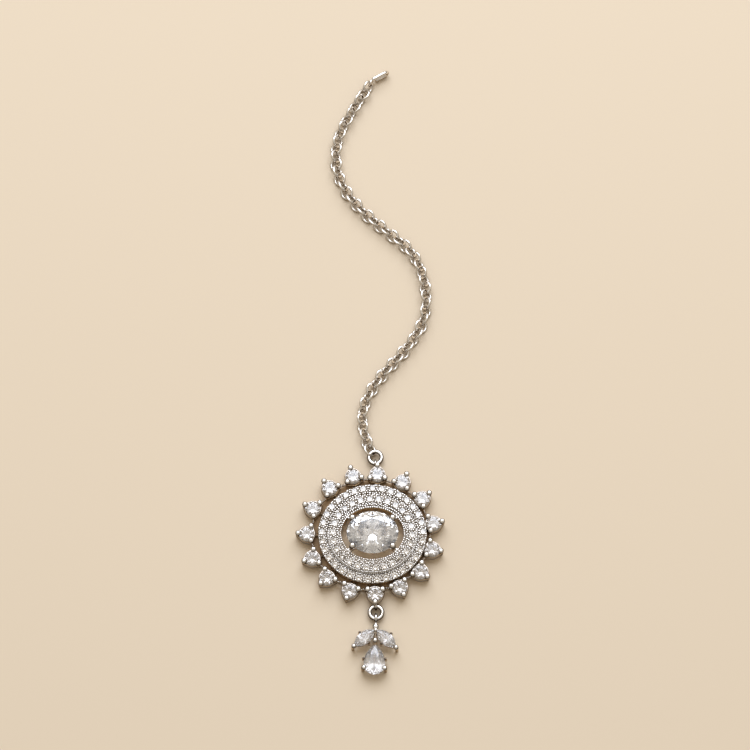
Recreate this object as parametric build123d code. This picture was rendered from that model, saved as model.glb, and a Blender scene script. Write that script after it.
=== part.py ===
from build123d import *

import os
from math import acos, atan2, cos, degrees, pi, radians, sin, tan

# A maang tikka lying face up: hair hook, fine chain, sunburst pendant and drop.
# Millimetres. +X is right, +Y runs from the pendant towards the hook, +Z is up from the surface it lies on.
# Everything is placed from the middle of the pendant, and moved at the end so that the origin is
# under the middle of the whole ornament.

# ---- driving dimensions -------------------------------------------------------------------------

GAP = 0.05  # clearance between a stone and the metal that holds it
PAST = 1.0  # how far a cutting shape runs past the metal it cuts

# centre stone: 12 x 10 oval brilliant in a four-prong basket
CENTRE_LENGTH = 12.0
CENTRE_WIDTH = 10.0
CENTRE_GIRDLE_Z = 4.7
CENTRE_CROWN = 0.13  # crown height as a share of the width
CENTRE_PRONG_AT = (4.68, 3.36)
CENTRE_BALL_Z = 5.62

# double pave ring: two stepped oval bands round an open middle
PAVE_OUTER = (12.66, 11.9)
PAVE_STEP = (10.3, 9.4)
PAVE_INNER = (7.3, 6.17)
PAVE_BOTTOM_Z = 1.5
PAVE_OUTER_Z = 3.0
PAVE_INNER_Z = 3.6
PAVE_EDGE_ROUND = 0.25
GALLERY_WALL = 0.5
GALLERY_INSET = 0.2
GALLERY_FOOT_Z = 0.4
BAND_INNER = (12.2, 11.45)  # the flat band between the plate's outer wall and the bars of the sun
BAND_OUTER = (13.75, 13.25)
BAND_FOOT_Z = 0.45
BAND_THICK = 0.45

# sun stones: round brilliants in three-prong settings on an oval that sits a little to the left
SUN_STONE = 3.5
SUN_GIRDLE_Z = 2.8
SUN_CROWN = 0.105
SUN_OVAL = (14.9, 14.4)
SUN_OVAL_CENTRE = (-0.42, 0.1)
SUN_BEARINGS = [6, 30, 54, 80, 105, 129, 153, 176, 199, 223, 246, 270, 295, 320, 344]
SUN_TOP = 0
SUN_BOTTOM = 7

# prongs
PRONG_BALL = 1.3
DROP_PRONG_BALL = 1.1
PRONG_WIRE = 0.7
CENTRE_PRONG_WIRE = 0.8
LINK_BAR = 0.6
LINK_BAR_Z = 1.3

# jump rings, and the small loops that carry them
RING_OUTER = 3.77
RING_WIRE = 0.8
RING_Z = 1.2
LOOP_RADIUS = 0.75
LOOP_WIRE = 0.5
TOP_RING_AT = (0.65, 18.87)
BOTTOM_RING_AT = (0.81, -18.34)

# drop: bail, ball, two marquises and a pear, hanging a little off straight
DROP_TURN = -2.0
BAIL_RADIUS = 0.95
BAIL_WIRE = 0.6
BAIL_Z = 1.25
BALL_DOWN = 1.95
DROP_BALL = 1.35
KNOT_DOWN = 5.5
DROP_GIRDLE_Z = 2.75
MARQUISE = (6.0, 3.0)
MARQUISE_AT = (2.55, -4.95)
MARQUISE_SLOPE = 42.0
PEAR = (7.0, 5.0)
PEAR_ROUND_DOWN = 10.95

# chain: round links 3.1 across, so the chain is one tube along its route
CHAIN_TUBE = 2.8
CHAIN_ROUTE = [
    (-1.1, 110.9),
    (-5.0, 105.0),
    (-8.8, 97.4),
    (-8.8, 89.2),
    (-5.0, 82.0),
    (2.6, 75.0),
    (9.9, 69.4),
    (12.9, 60.8),
    (12.5, 52.2),
    (7.8, 45.0),
    (1.1, 37.8),
    (-2.3, 31.4),
    (-2.5, 25.4),
    (-0.6, 20.75),
]

# hair hook: an eye that the last link passes, and a bar that turns back under itself
HOOK_EYE_AT = (-0.4, 112.15)
HOOK_EYE_BEARING = 31.0
HOOK_EYE_RADIUS = 0.8
HOOK_EYE_WIRE = 0.6
HOOK_EYE_Z = 1.45
HOOK_BEARING = 60.0
HOOK_WIRE = 1.1
HOOK_BEND = 1.0
HOOK_START = (0.2, 112.75)
HOOK_REACH = 2.75
HOOK_RETURN = 1.9
NECK_FROM = 0.7  # where the neck leaves the eye, along and up, as a share of the eye's radius


# ---- helpers ------------------------------------------------------------------------------------


def rod(start, end, diameter):
    """A round bar from one point to another."""
    a = Vector(*start)
    b = Vector(*end)
    bar = Cylinder(diameter / 2, (b - a).length, align=(Align.CENTER, Align.CENTER, Align.MIN))
    return Plane(origin=a, z_dir=b - a) * bar


def ball(centre, diameter):
    return Pos(*centre) * Sphere(diameter / 2)


def prong(foot, tip, wire, tip_ball, lean=(0, 0)):
    """A round wire with a ball end. lean moves the ball sideways over the stone."""
    head = (tip[0] + lean[0], tip[1] + lean[1], tip[2])
    return rod(foot, tip, wire) + ball(head, tip_ball)


def upright_ring(centre, radius, wire, bearing):
    """A wire ring standing on edge. Its plane holds the bearing, clockwise from +Y, and +Z."""
    return Pos(*centre) * Rot(0, 0, -bearing) * Rot(0, 90, 0) * Torus(radius, wire / 2)


def oval(size, z, height):
    return Pos(0, 0, z) * extrude(Ellipse(*size), height)


def towards(bearing, distance):
    """The step of that length along a bearing, in degrees clockwise from +Y."""
    return distance * sin(radians(bearing)), distance * cos(radians(bearing))


# ---- stones -------------------------------------------------------------------------------------

CROWN_ANGLE = 34.0
UPPER_GIRDLE_ANGLE = 41.0
STAR_REACH = 1.17  # where a star facet would meet the girdle's plane
LOWER_GIRDLE_REACH = 0.045  # how far from the culet a lower girdle facet ends
CROWN_HEIGHT = 0.145
GIRDLE_HEIGHT = 0.03
PAVILION_DEPTH = 0.42


def brilliant(outline, reach, ellipse, width, crown_share):
    """A brilliant-cut stone with its girdle's top at z = 0. outline is the girdle's face and reach(angle)
    its support distance. ellipse spreads the facets: their bearings are those of its normals.
    crown_share is the crown's height as a share of the width: a flatter crown leaves a larger table."""
    crown = crown_share * width
    girdle = GIRDLE_HEIGHT * width
    pavilion = PAVILION_DEPTH * width
    stone = Pos(0, 0, -girdle - pavilion) * extrude(outline, crown + girdle + pavilion)
    # each facet family: how many, its first turn, and its reach at the girdle and at the table or culet
    table_reach = 1 - 2 * crown_share / tan(radians(CROWN_ANGLE))
    half_step = cos(radians(22.5))
    near_girdle = cos(radians(11.25))
    families = [
        (8, 0.0, 0.0, 1.0, crown, table_reach),
        (16, 11.25, 0.0, near_girdle, crown, near_girdle - 2 * crown_share / tan(radians(UPPER_GIRDLE_ANGLE))),
        (8, 22.5, 0.0, STAR_REACH, crown, table_reach * half_step),
        (8, 0.0, -girdle, 1.0, -girdle - pavilion, 0.0),
        (16, 11.25, -girdle, near_girdle, -girdle - pavilion, LOWER_GIRDLE_REACH),
    ]
    for count, first, low_z, low_reach, high_z, high_reach in families:
        for k in range(count):
            turn = radians(first + 360 * k / count)
            angle = atan2(sin(turn) / ellipse[1], cos(turn) / ellipse[0])
            far = reach(angle)
            start = Vector(low_reach * far * cos(angle), low_reach * far * sin(angle), low_z)
            end = Vector(high_reach * far * cos(angle), high_reach * far * sin(angle), high_z)
            along = Vector(-sin(angle), cos(angle), 0)
            outward = along.cross(end - start)
            if outward.dot(Vector(cos(angle), sin(angle), 0)) < 0:
                outward = -outward
            stone = stone.split(Plane(origin=start, z_dir=outward), keep=Keep.BOTTOM)
    return stone


def ellipse_reach(half):
    return lambda angle: ((half[0] * cos(angle)) ** 2 + (half[1] * sin(angle)) ** 2) ** 0.5


def oval_stone(length, width, crown_share):
    half = (length / 2, width / 2)
    face = Ellipse(*half) if length > width else Circle(width / 2)
    return brilliant(face, ellipse_reach(half), half, width, crown_share)


def marquise_face(tip, side):
    """Two equal arcs that meet in a point at each end, long way on X."""
    upper = ThreePointArc((-tip, 0), (0, side), (tip, 0))
    lower = ThreePointArc((tip, 0), (0, -side), (-tip, 0))
    return make_face(upper + lower)


MARQUISE_SPREAD = 1.15  # turns the marquise's side facets a little towards its tips


def marquise_stone(length, width):
    tip = length / 2
    side = width / 2
    radius = (tip**2 + side**2) / (2 * side)

    def reach(angle):
        on_arc = radius - (radius - side) * abs(sin(angle))
        return on_arc if radius * abs(cos(angle)) <= tip else tip * abs(cos(angle))

    return brilliant(marquise_face(tip, side), reach, (tip, side * MARQUISE_SPREAD), width, CROWN_HEIGHT)


def pear_face(r, tip):
    """A half circle of radius r carried on by two arcs to a point at x = tip."""
    radius = (tip**2 + r**2) / (2 * r)
    half = atan2(tip, radius - r) / 2
    middle_x = radius * sin(half)
    middle_y = r - radius + radius * cos(half)
    upper = ThreePointArc((0, r), (middle_x, middle_y), (tip, 0))
    lower = ThreePointArc((tip, 0), (middle_x, -middle_y), (0, -r))
    end = ThreePointArc((0, -r), (-r, 0), (0, r))
    return make_face(upper + lower + end)


def pear_stone(length, width):
    """The round end's middle is at x = 0, the tip at +X."""
    r = width / 2
    tip = length - r
    radius = (tip**2 + r**2) / (2 * r)

    def reach(angle):
        if cos(angle) <= 0:
            return r
        if radius * cos(angle) <= tip:
            return radius - (radius - r) * abs(sin(angle))
        return tip * cos(angle)

    return brilliant(pear_face(r, tip), reach, (tip, r), width, CROWN_HEIGHT)


# ---- pendant ------------------------------------------------------------------------------------


def sun_place(index):
    """Middle of a sun stone, and the bearing that its outer prong points along."""
    turn = radians(SUN_BEARINGS[index])
    x = SUN_OVAL_CENTRE[0] + SUN_OVAL[0] * sin(turn)
    y = SUN_OVAL_CENTRE[1] + SUN_OVAL[1] * cos(turn)
    if index in (SUN_TOP, SUN_BOTTOM):
        return x, y, 180.0 if index == SUN_BOTTOM else 0.0
    return x, y, degrees(atan2(x, y))


BOWL_TOP = SUN_STONE / 2 + 2 * GAP
BOWL_FOOT = 1.75
BOWL_TOP_Z = 2.5
BOWL_WALL = 0.55
GUSSET_FOOT_Z = 0.9
SUN_PRONG_OUT = SUN_STONE / 2 + PRONG_WIRE / 2 + GAP
SUN_BALL_Z = 3.55
SUN_LEAN = 0.15
POST_FOOT_Z = 0.2
STRUT_REACH = 3.2
STRUT_WIRE = 0.8
STRUT_Z = 1.05


def gusset(foot_z):
    """The straight-sided wall between the cup and a prong, narrowing from one to the other along +Y."""
    post = PRONG_WIRE / 2 - GAP
    cup = BOWL_FOOT - GAP
    turn = acos((cup - post) / SUN_PRONG_OUT)
    wide = (cup * sin(turn), cup * cos(turn))
    narrow = (post * sin(turn), SUN_PRONG_OUT + post * cos(turn) / 2)
    corners = [wide, narrow, (-narrow[0], narrow[1]), (-wide[0], wide[1])]
    return Pos(0, 0, foot_z) * extrude(make_face(Polyline(*corners, close=True)), BOWL_TOP_Z - GAP - foot_z)


def sun_setting(outer_foot_z):
    """Tapered cup with a seat cut for the stone and three prongs, its outer prong towards +Y."""
    cup_base = (Align.CENTER, Align.CENTER, Align.MIN)
    cup = Cone(BOWL_FOOT, BOWL_TOP, BOWL_TOP_Z, align=cup_base)
    for bearing in (0, 120, 240):
        cup += Rot(0, 0, -bearing) * gusset(max(GUSSET_FOOT_Z, outer_foot_z if bearing == 0 else 0))
    cup -= Cone(BOWL_FOOT - BOWL_WALL, BOWL_TOP - BOWL_WALL, BOWL_TOP_Z, align=cup_base)
    depth = PAVILION_DEPTH * SUN_STONE
    seat_z = SUN_GIRDLE_Z - GIRDLE_HEIGHT * SUN_STONE - depth - 3 * GAP
    cup -= Pos(0, 0, seat_z) * Cone(0, SUN_STONE / 2, depth, align=cup_base)
    for bearing, foot_z in ((0, outer_foot_z), (120, POST_FOOT_Z), (240, POST_FOOT_Z)):
        x, y = towards(bearing, SUN_PRONG_OUT)
        lean = towards(bearing, -SUN_LEAN)
        cup += prong((x, y, foot_z), (x, y, SUN_BALL_Z), PRONG_WIRE, PRONG_BALL, lean)
    return cup


def gallery_wall(outer):
    """A thin oval wall under the plate, from its foot up into the plate."""
    inner = (outer[0] - GALLERY_WALL, outer[1] - GALLERY_WALL)
    height = PAVE_BOTTOM_Z - GALLERY_FOOT_Z + GALLERY_WALL
    return oval(outer, GALLERY_FOOT_Z, height) - oval(inner, GALLERY_FOOT_Z - PAST, height + 2 * PAST)


def gallery_band():
    """A thin flat oval low down, from the plate's outer wall to the bars between the sun settings."""
    outer = Pos(*SUN_OVAL_CENTRE, 0) * oval(BAND_OUTER, BAND_FOOT_Z, BAND_THICK)
    return outer - oval(BAND_INNER, BAND_FOOT_Z - PAST, BAND_THICK + 2 * PAST)


def pave_ring():
    """Two stepped bands with rounded upper edges, open in the middle, on two thin gallery walls."""
    height = PAVE_OUTER_Z - PAVE_BOTTOM_Z
    outer = oval(PAVE_OUTER, PAVE_BOTTOM_Z, height)
    outer = fillet(outer.edges().group_by(Axis.Z)[-1], PAVE_EDGE_ROUND)
    inner = oval(PAVE_STEP, PAVE_BOTTOM_Z, PAVE_INNER_Z - PAVE_BOTTOM_Z)
    inner = fillet(inner.edges().group_by(Axis.Z)[-1], PAVE_EDGE_ROUND)
    opening_height = PAVE_INNER_Z - PAVE_BOTTOM_Z + 2 * PAST
    plate = outer + inner - oval(PAVE_INNER, PAVE_BOTTOM_Z - PAST, opening_height)
    rim_wall = (PAVE_OUTER[0] - GALLERY_INSET, PAVE_OUTER[1] - GALLERY_INSET)
    opening_wall = tuple(half + GALLERY_INSET + GALLERY_WALL for half in PAVE_INNER)
    return plate + gallery_wall(rim_wall) + gallery_wall(opening_wall)


ARM_Z = 2.1
ARM_END = 1.38  # an arm ends at this many times its prong's distance, inside the plate
ARM_RISE = 0.3
BASKET_RAIL = (3.55, 2.9)
BASKET_RAIL_Z = 1.15
BASKET_WIRE = 0.7
KNEE = (0.76, 0.79)  # where a prong's foot meets the rail, as shares of the rail's half axes


def centre_basket():
    """Four prongs round the centre stone, a lower rail that joins them, and an arm from each to the ring."""
    rail = oval((BASKET_RAIL[0] + BASKET_WIRE, BASKET_RAIL[1] + BASKET_WIRE), BASKET_RAIL_Z, BASKET_WIRE)
    basket = rail - oval(BASKET_RAIL, BASKET_RAIL_Z - PAST, BASKET_WIRE + 2 * PAST)
    for sx in (-1, 1):
        for sy in (-1, 1):
            out = Vector(CENTRE_PRONG_AT[0] / CENTRE_LENGTH**2, CENTRE_PRONG_AT[1] / CENTRE_WIDTH**2, 0)
            out = out.normalized() * (CENTRE_PRONG_WIRE / 2 + 2 * GAP)
            x = sx * (CENTRE_PRONG_AT[0] + out.X)
            y = sy * (CENTRE_PRONG_AT[1] + out.Y)
            head = (sx * CENTRE_PRONG_AT[0], sy * CENTRE_PRONG_AT[1], CENTRE_BALL_Z)
            basket += rod((x, y, ARM_Z), (x, y, CENTRE_BALL_Z - 2 * GAP), CENTRE_PRONG_WIRE)
            basket += ball(head, PRONG_BALL)
            knee_z = BASKET_RAIL_Z + BASKET_WIRE / 2
            knee = (sx * BASKET_RAIL[0] * KNEE[0], sy * BASKET_RAIL[1] * KNEE[1], knee_z)
            basket += rod(knee, (x, y, ARM_Z + 2 * GAP), CENTRE_PRONG_WIRE)
            arm_z = ARM_Z + ARM_RISE
            basket += rod((x, y, arm_z), (x * ARM_END, y * ARM_END, arm_z), CENTRE_PRONG_WIRE)
    return basket


def pendant_frame():
    frame = pave_ring() + gallery_band() + centre_basket()
    plain_setting = sun_setting(POST_FOOT_Z)
    ring_setting = sun_setting(RING_Z + RING_WIRE / 2 + 3 * GAP)
    places = [sun_place(i) for i in range(len(SUN_BEARINGS))]
    sides = []
    for index, (x, y, aim) in enumerate(places):
        setting = ring_setting if index in (SUN_TOP, SUN_BOTTOM) else plain_setting
        frame += Pos(x, y, 0) * Rot(0, 0, -aim) * setting
        inward = Vector(-x, -y, 0).normalized()
        near = inward * (BOWL_FOOT - BOWL_WALL / 2)
        far = inward * STRUT_REACH
        frame += rod((x + near.X, y + near.Y, STRUT_Z), (x + far.X, y + far.Y, STRUT_Z), STRUT_WIRE)
        left = towards(aim + 240, SUN_PRONG_OUT)
        right = towards(aim + 120, SUN_PRONG_OUT)
        sides.append(((x + left[0], y + left[1]), (x + right[0], y + right[1])))
    for i, (_, right) in enumerate(sides):
        left = sides[(i + 1) % len(sides)][0]
        frame += rod((*right, LINK_BAR_Z), (*left, LINK_BAR_Z), LINK_BAR)
    for index, way in ((SUN_TOP, 1), (SUN_BOTTOM, -1)):
        x, y, _ = places[index]
        ring_x, ring_y = TOP_RING_AT if way == 1 else BOTTOM_RING_AT
        loop_y = ring_y - way * (RING_OUTER - RING_WIRE) / 2
        frame += upright_ring((ring_x, loop_y, RING_Z), LOOP_RADIUS, LOOP_WIRE, 0)
        foot = (x, y + way * (BOWL_FOOT - BOWL_WALL / 2 - GAP), RING_Z)
        frame += rod(foot, (ring_x, loop_y - way * LOOP_RADIUS, RING_Z), LOOP_WIRE)
    return frame


# ---- drop ---------------------------------------------------------------------------------------


def drop_place():
    """The drop hangs from the middle of its bail, inside the lower jump ring's far wire."""
    x, y = BOTTOM_RING_AT
    return Pos(x, y - (RING_OUTER - RING_WIRE) / 2, 0) * Rot(0, 0, DROP_TURN)


MARQUISE_TIP_OUT = 0.42
MARQUISE_TRAY_INSET = 0.12
MARQUISE_HOLE_SHORT = 0.9
PEAR_TRAY_INSET = 0.15
PEAR_HOLE_INSET = 1.1
PEAR_HOLE_SHORT = 1.76
KNOT_BALL = 1.0
CUP_Z = 2.3
CUP_HEIGHT = 0.8
CUP_WALL = 0.5
DROP_BALL_Z = 3.47
PRONG_BEARING = 66.0
TRAY_BAR_Z = CUP_Z - CUP_HEIGHT / 2
TRAY_BAR_START = 0.75  # where the bars to the pear's prongs start, as a share of the prongs' places
SIDE_WIRE = 0.5
SIDE_FOOT_Z = 1.0
SIDE_TIP_Z = 3.2
SIDE_BALL = 0.6
SIDE_PRONG_UP = 1.15
DROP_LEAN = 0.28
STEM_WIRE = 0.7
STEM_Z = 1.85
STEM_SHORT = 0.55  # how far the stem stops before the pear's tip
KNOT_Z = 3.4
BRANCH_START = (0.5, 0.7)  # where a branch to the marquise starts, as shares of the marquise's place
BRANCH_END_DOWN = 3.35
DROP_BALL_AT_Z = 1.65


def marquise_setting():
    """A pointed tray under the stone, a ball prong at the outer tip and small prongs at the sides."""
    length, width = MARQUISE
    tip = length / 2
    side = width / 2 - MARQUISE_TRAY_INSET
    tray = Pos(0, 0, CUP_Z - CUP_HEIGHT) * extrude(marquise_face(tip, side), CUP_HEIGHT)
    hole = marquise_face(tip - MARQUISE_HOLE_SHORT, side - CUP_WALL)
    tray -= Pos(0, 0, CUP_Z - 2 * CUP_HEIGHT) * extrude(hole, 3 * CUP_HEIGHT)
    tray -= Pos(0, 0, DROP_GIRDLE_Z - 2 * GAP) * marquise_stone(*MARQUISE)
    out = tip + MARQUISE_TIP_OUT
    tray += prong((out, 0, 0), (out, 0, DROP_BALL_Z), PRONG_WIRE, KNOT_BALL, (-DROP_LEAN, 0))
    tray += rod((tip - PRONG_WIRE, 0, TRAY_BAR_Z), (out, 0, TRAY_BAR_Z), PRONG_WIRE)
    for way in (-1, 1):
        foot = way * (width / 2 + SIDE_WIRE / 2 + GAP)
        tray += prong((0, foot, SIDE_FOOT_Z), (0, foot, SIDE_TIP_Z), SIDE_WIRE, SIDE_BALL)
        tray += rod((0, way * (side - CUP_WALL / 2), TRAY_BAR_Z), (0, foot, TRAY_BAR_Z), SIDE_WIRE)
    return tray


def pear_setting():
    """A round-ended tray, two ball prongs at the round end and two small ones on the sides."""
    length, width = PEAR
    r = width / 2 - PEAR_TRAY_INSET
    tip = length - width / 2
    radius = (tip**2 + r**2) / (2 * r)
    tray = Pos(0, 0, CUP_Z - CUP_HEIGHT) * extrude(pear_face(r, tip), CUP_HEIGHT)
    hole = pear_face(r - PEAR_HOLE_INSET, tip - PEAR_HOLE_SHORT)
    tray -= Pos(0, 0, CUP_Z - 2 * CUP_HEIGHT) * extrude(hole, 3 * CUP_HEIGHT)
    tray -= Pos(0, 0, DROP_GIRDLE_Z - 2 * GAP) * pear_stone(*PEAR)
    for way in (-1, 1):
        reach = width / 2 + PRONG_WIRE / 2 + GAP
        turn = radians(180 - way * PRONG_BEARING)
        x = reach * cos(turn)
        y = reach * sin(turn)
        lean = (-DROP_LEAN * cos(turn), -DROP_LEAN * sin(turn))
        tray += prong((x, y, 0), (x, y, DROP_BALL_Z), PRONG_WIRE, DROP_PRONG_BALL, lean)
        start = (x * TRAY_BAR_START, y * TRAY_BAR_START, TRAY_BAR_Z)
        tray += rod(start, (x, y, TRAY_BAR_Z), PRONG_WIRE)
        side_x = SIDE_PRONG_UP
        side_y = way * ((radius**2 - side_x**2) ** 0.5 - radius + width / 2 + SIDE_WIRE / 2 + 2 * GAP)
        tray += prong((side_x, side_y, SIDE_FOOT_Z), (side_x, side_y, SIDE_TIP_Z), SIDE_WIRE, SIDE_BALL)
        start = (side_x, side_y * TRAY_BAR_START, TRAY_BAR_Z)
        tray += rod(start, (side_x, side_y, TRAY_BAR_Z), SIDE_WIRE)
    return tray


def marquise_frame(way):
    x, y = MARQUISE_AT
    turn = -MARQUISE_SLOPE if way == 1 else MARQUISE_SLOPE - 180
    return Pos(way * x, y, 0) * Rot(0, 0, turn)


def pear_frame():
    return Pos(0, -PEAR_ROUND_DOWN, 0) * Rot(0, 0, 90)


def drop_frame():
    ball_y = -BALL_DOWN
    frame = upright_ring((0, 0, BAIL_Z), BAIL_RADIUS, BAIL_WIRE, 0)
    frame += ball((0, ball_y, DROP_BALL_AT_Z), DROP_BALL)
    frame += rod((0, -BAIL_RADIUS, BAIL_Z), (0, ball_y, DROP_BALL_AT_Z), BAIL_WIRE)
    stem_end = (0, -PEAR_ROUND_DOWN + PEAR[0] - PEAR[1] / 2 - STEM_SHORT, STEM_Z)
    frame += rod((0, ball_y, DROP_BALL_AT_Z), stem_end, STEM_WIRE)
    frame += prong((0, -KNOT_DOWN, STEM_Z), (0, -KNOT_DOWN, KNOT_Z), SIDE_WIRE, KNOT_BALL)
    for way in (-1, 1):
        frame += marquise_frame(way) * marquise_setting()
        x, y = MARQUISE_AT
        start = (way * x * BRANCH_START[0], y * BRANCH_START[1], DROP_BALL_AT_Z)
        frame += rod(start, (0, -BRANCH_END_DOWN, STEM_Z - 2 * GAP), STEM_WIRE)
    frame += pear_frame() * pear_setting()
    return drop_place() * frame


# ---- jump rings, chain and hook -----------------------------------------------------------------


def jump_ring(at):
    return Pos(*at, RING_Z) * Torus((RING_OUTER - RING_WIRE) / 2, RING_WIRE / 2)


def chain_tube():
    """Straight runs joined by tangent arcs, each as large as its two runs allow."""
    points = [Vector(x, y, CHAIN_TUBE / 2) for x, y in CHAIN_ROUTE]
    radii = []
    for before, here, after in zip(points, points[1:], points[2:]):
        run_in = here - before
        run_out = after - here
        turn = radians(run_in.get_angle(run_out))
        radii.append(0.45 * min(run_in.length, run_out.length) / tan(turn / 2))
    path = FilletPolyline(*points, radius=radii)
    start = Plane(origin=points[0], z_dir=points[1] - points[0])
    tube = sweep(start * Circle(CHAIN_TUBE / 2), path=path)
    section = pi * CHAIN_TUBE**2 / 4
    print("chain radii", [round(r, 1) for r in radii])
    print("chain length", round(path.length, 2), "volume ratio", round(tube.volume / section / path.length, 4))
    return tube


def hair_hook():
    """A ringed bar that runs up over its own foot and turns back under itself."""
    way_x, way_y = towards(HOOK_BEARING, 1.0)
    low_z = HOOK_WIRE / 2
    high_z = low_z + 2 * HOOK_BEND

    def along(distance, z):
        return Vector(HOOK_START[0] + way_x * distance, HOOK_START[1] + way_y * distance, z)

    upper = Line(along(0, high_z), along(HOOK_REACH, high_z))
    bend = ThreePointArc(along(HOOK_REACH, high_z), along(HOOK_REACH + HOOK_BEND, high_z - HOOK_BEND),
                         along(HOOK_REACH, low_z))
    lower = Line(along(HOOK_REACH, low_z), along(HOOK_REACH - HOOK_RETURN, low_z))
    start = Plane(origin=along(0, high_z), z_dir=along(1, high_z) - along(0, high_z))
    hook = sweep(start * Circle(HOOK_WIRE / 2), path=upper + bend + lower)
    hook += ball(tuple(along(0, high_z)), HOOK_WIRE)
    hook += ball(tuple(along(HOOK_REACH - HOOK_RETURN, low_z)), HOOK_WIRE)
    hook += upright_ring((*HOOK_EYE_AT, HOOK_EYE_Z), HOOK_EYE_RADIUS, HOOK_EYE_WIRE, HOOK_EYE_BEARING)
    rise = HOOK_EYE_RADIUS * NECK_FROM
    eye_x, eye_y = towards(HOOK_EYE_BEARING, rise)
    eye_top = (HOOK_EYE_AT[0] + eye_x, HOOK_EYE_AT[1] + eye_y, HOOK_EYE_Z + rise)
    hook += rod(eye_top, tuple(along(0.1, high_z)), HOOK_EYE_WIRE)
    return hook


# ---- assembly -----------------------------------------------------------------------------------

nodes = {
    "hair_hook": hair_hook(),
    "chain": chain_tube(),
    "top_jump_ring": jump_ring(TOP_RING_AT),
    "pendant_frame": pendant_frame(),
    "centre_stone": Pos(0, 0, CENTRE_GIRDLE_Z) * oval_stone(CENTRE_LENGTH, CENTRE_WIDTH, CENTRE_CROWN),
    "lower_jump_ring": jump_ring(BOTTOM_RING_AT),
    "drop_frame": drop_frame(),
}

sun_stone = oval_stone(SUN_STONE, SUN_STONE, SUN_CROWN)
for i in range(len(SUN_BEARINGS)):
    x, y, aim = sun_place(i)
    nodes[f"sun_stone_{i + 1:02d}"] = Pos(x, y, SUN_GIRDLE_Z) * Rot(0, 0, -aim) * sun_stone

marquise = Pos(0, 0, DROP_GIRDLE_Z) * marquise_stone(*MARQUISE)
for name, way in (("marquise_stone_left", -1), ("marquise_stone_right", 1)):
    nodes[name] = drop_place() * marquise_frame(way) * marquise
nodes["pear_stone"] = drop_place() * pear_frame() * Pos(0, 0, DROP_GIRDLE_Z) * pear_stone(*PEAR)

whole = Compound(children=[Compound(shape.solids()) for shape in nodes.values()]).bounding_box()
to_origin = Pos(-whole.center().X, -whole.center().Y, 0)
print("pendant middle", round(-whole.center().X, 3), round(-whole.center().Y, 3), "size", whole.size)

os.makedirs("parts", exist_ok=True)
for name, shape in nodes.items():
    solid = (to_origin * shape).solids()
    print(name, len(solid), "solid", round(sum(s.volume for s in solid), 2), "mm3")
    export_step(Compound(solid) if len(solid) > 1 else solid[0], f"parts/{name}.step")
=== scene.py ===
from math import acos, atan2, cos, hypot, pi, radians, sin

import bpy
import numpy as np
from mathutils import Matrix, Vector


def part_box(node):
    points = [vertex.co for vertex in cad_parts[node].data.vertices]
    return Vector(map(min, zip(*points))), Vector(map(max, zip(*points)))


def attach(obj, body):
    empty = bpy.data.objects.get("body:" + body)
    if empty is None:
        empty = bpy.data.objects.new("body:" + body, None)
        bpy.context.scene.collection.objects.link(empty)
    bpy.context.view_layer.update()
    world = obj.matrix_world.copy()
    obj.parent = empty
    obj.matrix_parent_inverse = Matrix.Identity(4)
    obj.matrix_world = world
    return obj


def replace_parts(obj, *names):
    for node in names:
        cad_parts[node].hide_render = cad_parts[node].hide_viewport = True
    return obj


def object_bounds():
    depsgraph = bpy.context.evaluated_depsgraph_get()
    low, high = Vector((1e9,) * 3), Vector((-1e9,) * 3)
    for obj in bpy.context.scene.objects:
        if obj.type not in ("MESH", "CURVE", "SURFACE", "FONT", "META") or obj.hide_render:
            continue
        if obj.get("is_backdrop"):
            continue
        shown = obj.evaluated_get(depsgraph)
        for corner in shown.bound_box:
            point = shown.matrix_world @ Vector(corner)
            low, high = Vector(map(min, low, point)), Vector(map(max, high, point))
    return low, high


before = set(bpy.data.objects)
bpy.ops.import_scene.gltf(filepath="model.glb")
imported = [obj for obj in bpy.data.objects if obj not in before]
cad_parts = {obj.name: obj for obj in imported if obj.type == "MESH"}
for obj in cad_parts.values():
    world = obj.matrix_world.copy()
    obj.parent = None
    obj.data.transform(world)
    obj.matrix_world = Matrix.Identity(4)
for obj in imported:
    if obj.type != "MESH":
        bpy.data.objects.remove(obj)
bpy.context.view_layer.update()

# ---- cut stones ----------------------------------------------
# Colourless cubic zirconia: one oval, fifteen rounds, two marquises and a pear, all brilliant cut.
# The facets are lapped flat and bright, so all that shows on them is a faint haze from wiping.

LARGE_TINT = (0.99, 0.985, 1.0, 1.0)
SMALL_TINT = (0.675, 0.635, 0.61, 1.0)
DROP_TINT = (0.94, 0.90, 0.875, 1.0)
STONE_IOR = 2.16
WIPE_SCALE = 900.0


def set_sockets(shader_node, values):
    """Gives a shader node's named inputs their values, and returns the node."""
    for socket, value in values.items():
        shader_node.inputs[socket].default_value = value
    return shader_node


def add_node(tree, kind, values=None, **settings):
    """A new shader node of that kind, with its settings and its inputs' values."""
    shader_node = tree.nodes.new("ShaderNode" + kind)
    for setting, value in settings.items():
        setattr(shader_node, setting, value)
    return set_sockets(shader_node, values or {})


def join(tree, *links):
    """Links shader nodes, each link as (node, output, node, input)."""
    for source, output, target, target_input in links:
        tree.links.new(source.outputs[output], target.inputs[target_input])


def new_group(name, inputs, outputs):
    """An empty shader node group with inputs of these values and outputs of these values' kinds, and
    its input and output nodes. A colour is a tuple, and all else is a number."""
    group = bpy.data.node_groups.new(name, "ShaderNodeTree")
    for way, sockets in (("INPUT", inputs), ("OUTPUT", outputs)):
        for socket, value in sockets.items():
            kind = "NodeSocketColor" if isinstance(value, tuple) else "NodeSocketFloat"
            group.interface.new_socket(socket, in_out=way, socket_type=kind).default_value = value
    return group, group.nodes.new("NodeGroupInput"), group.nodes.new("NodeGroupOutput")


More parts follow.
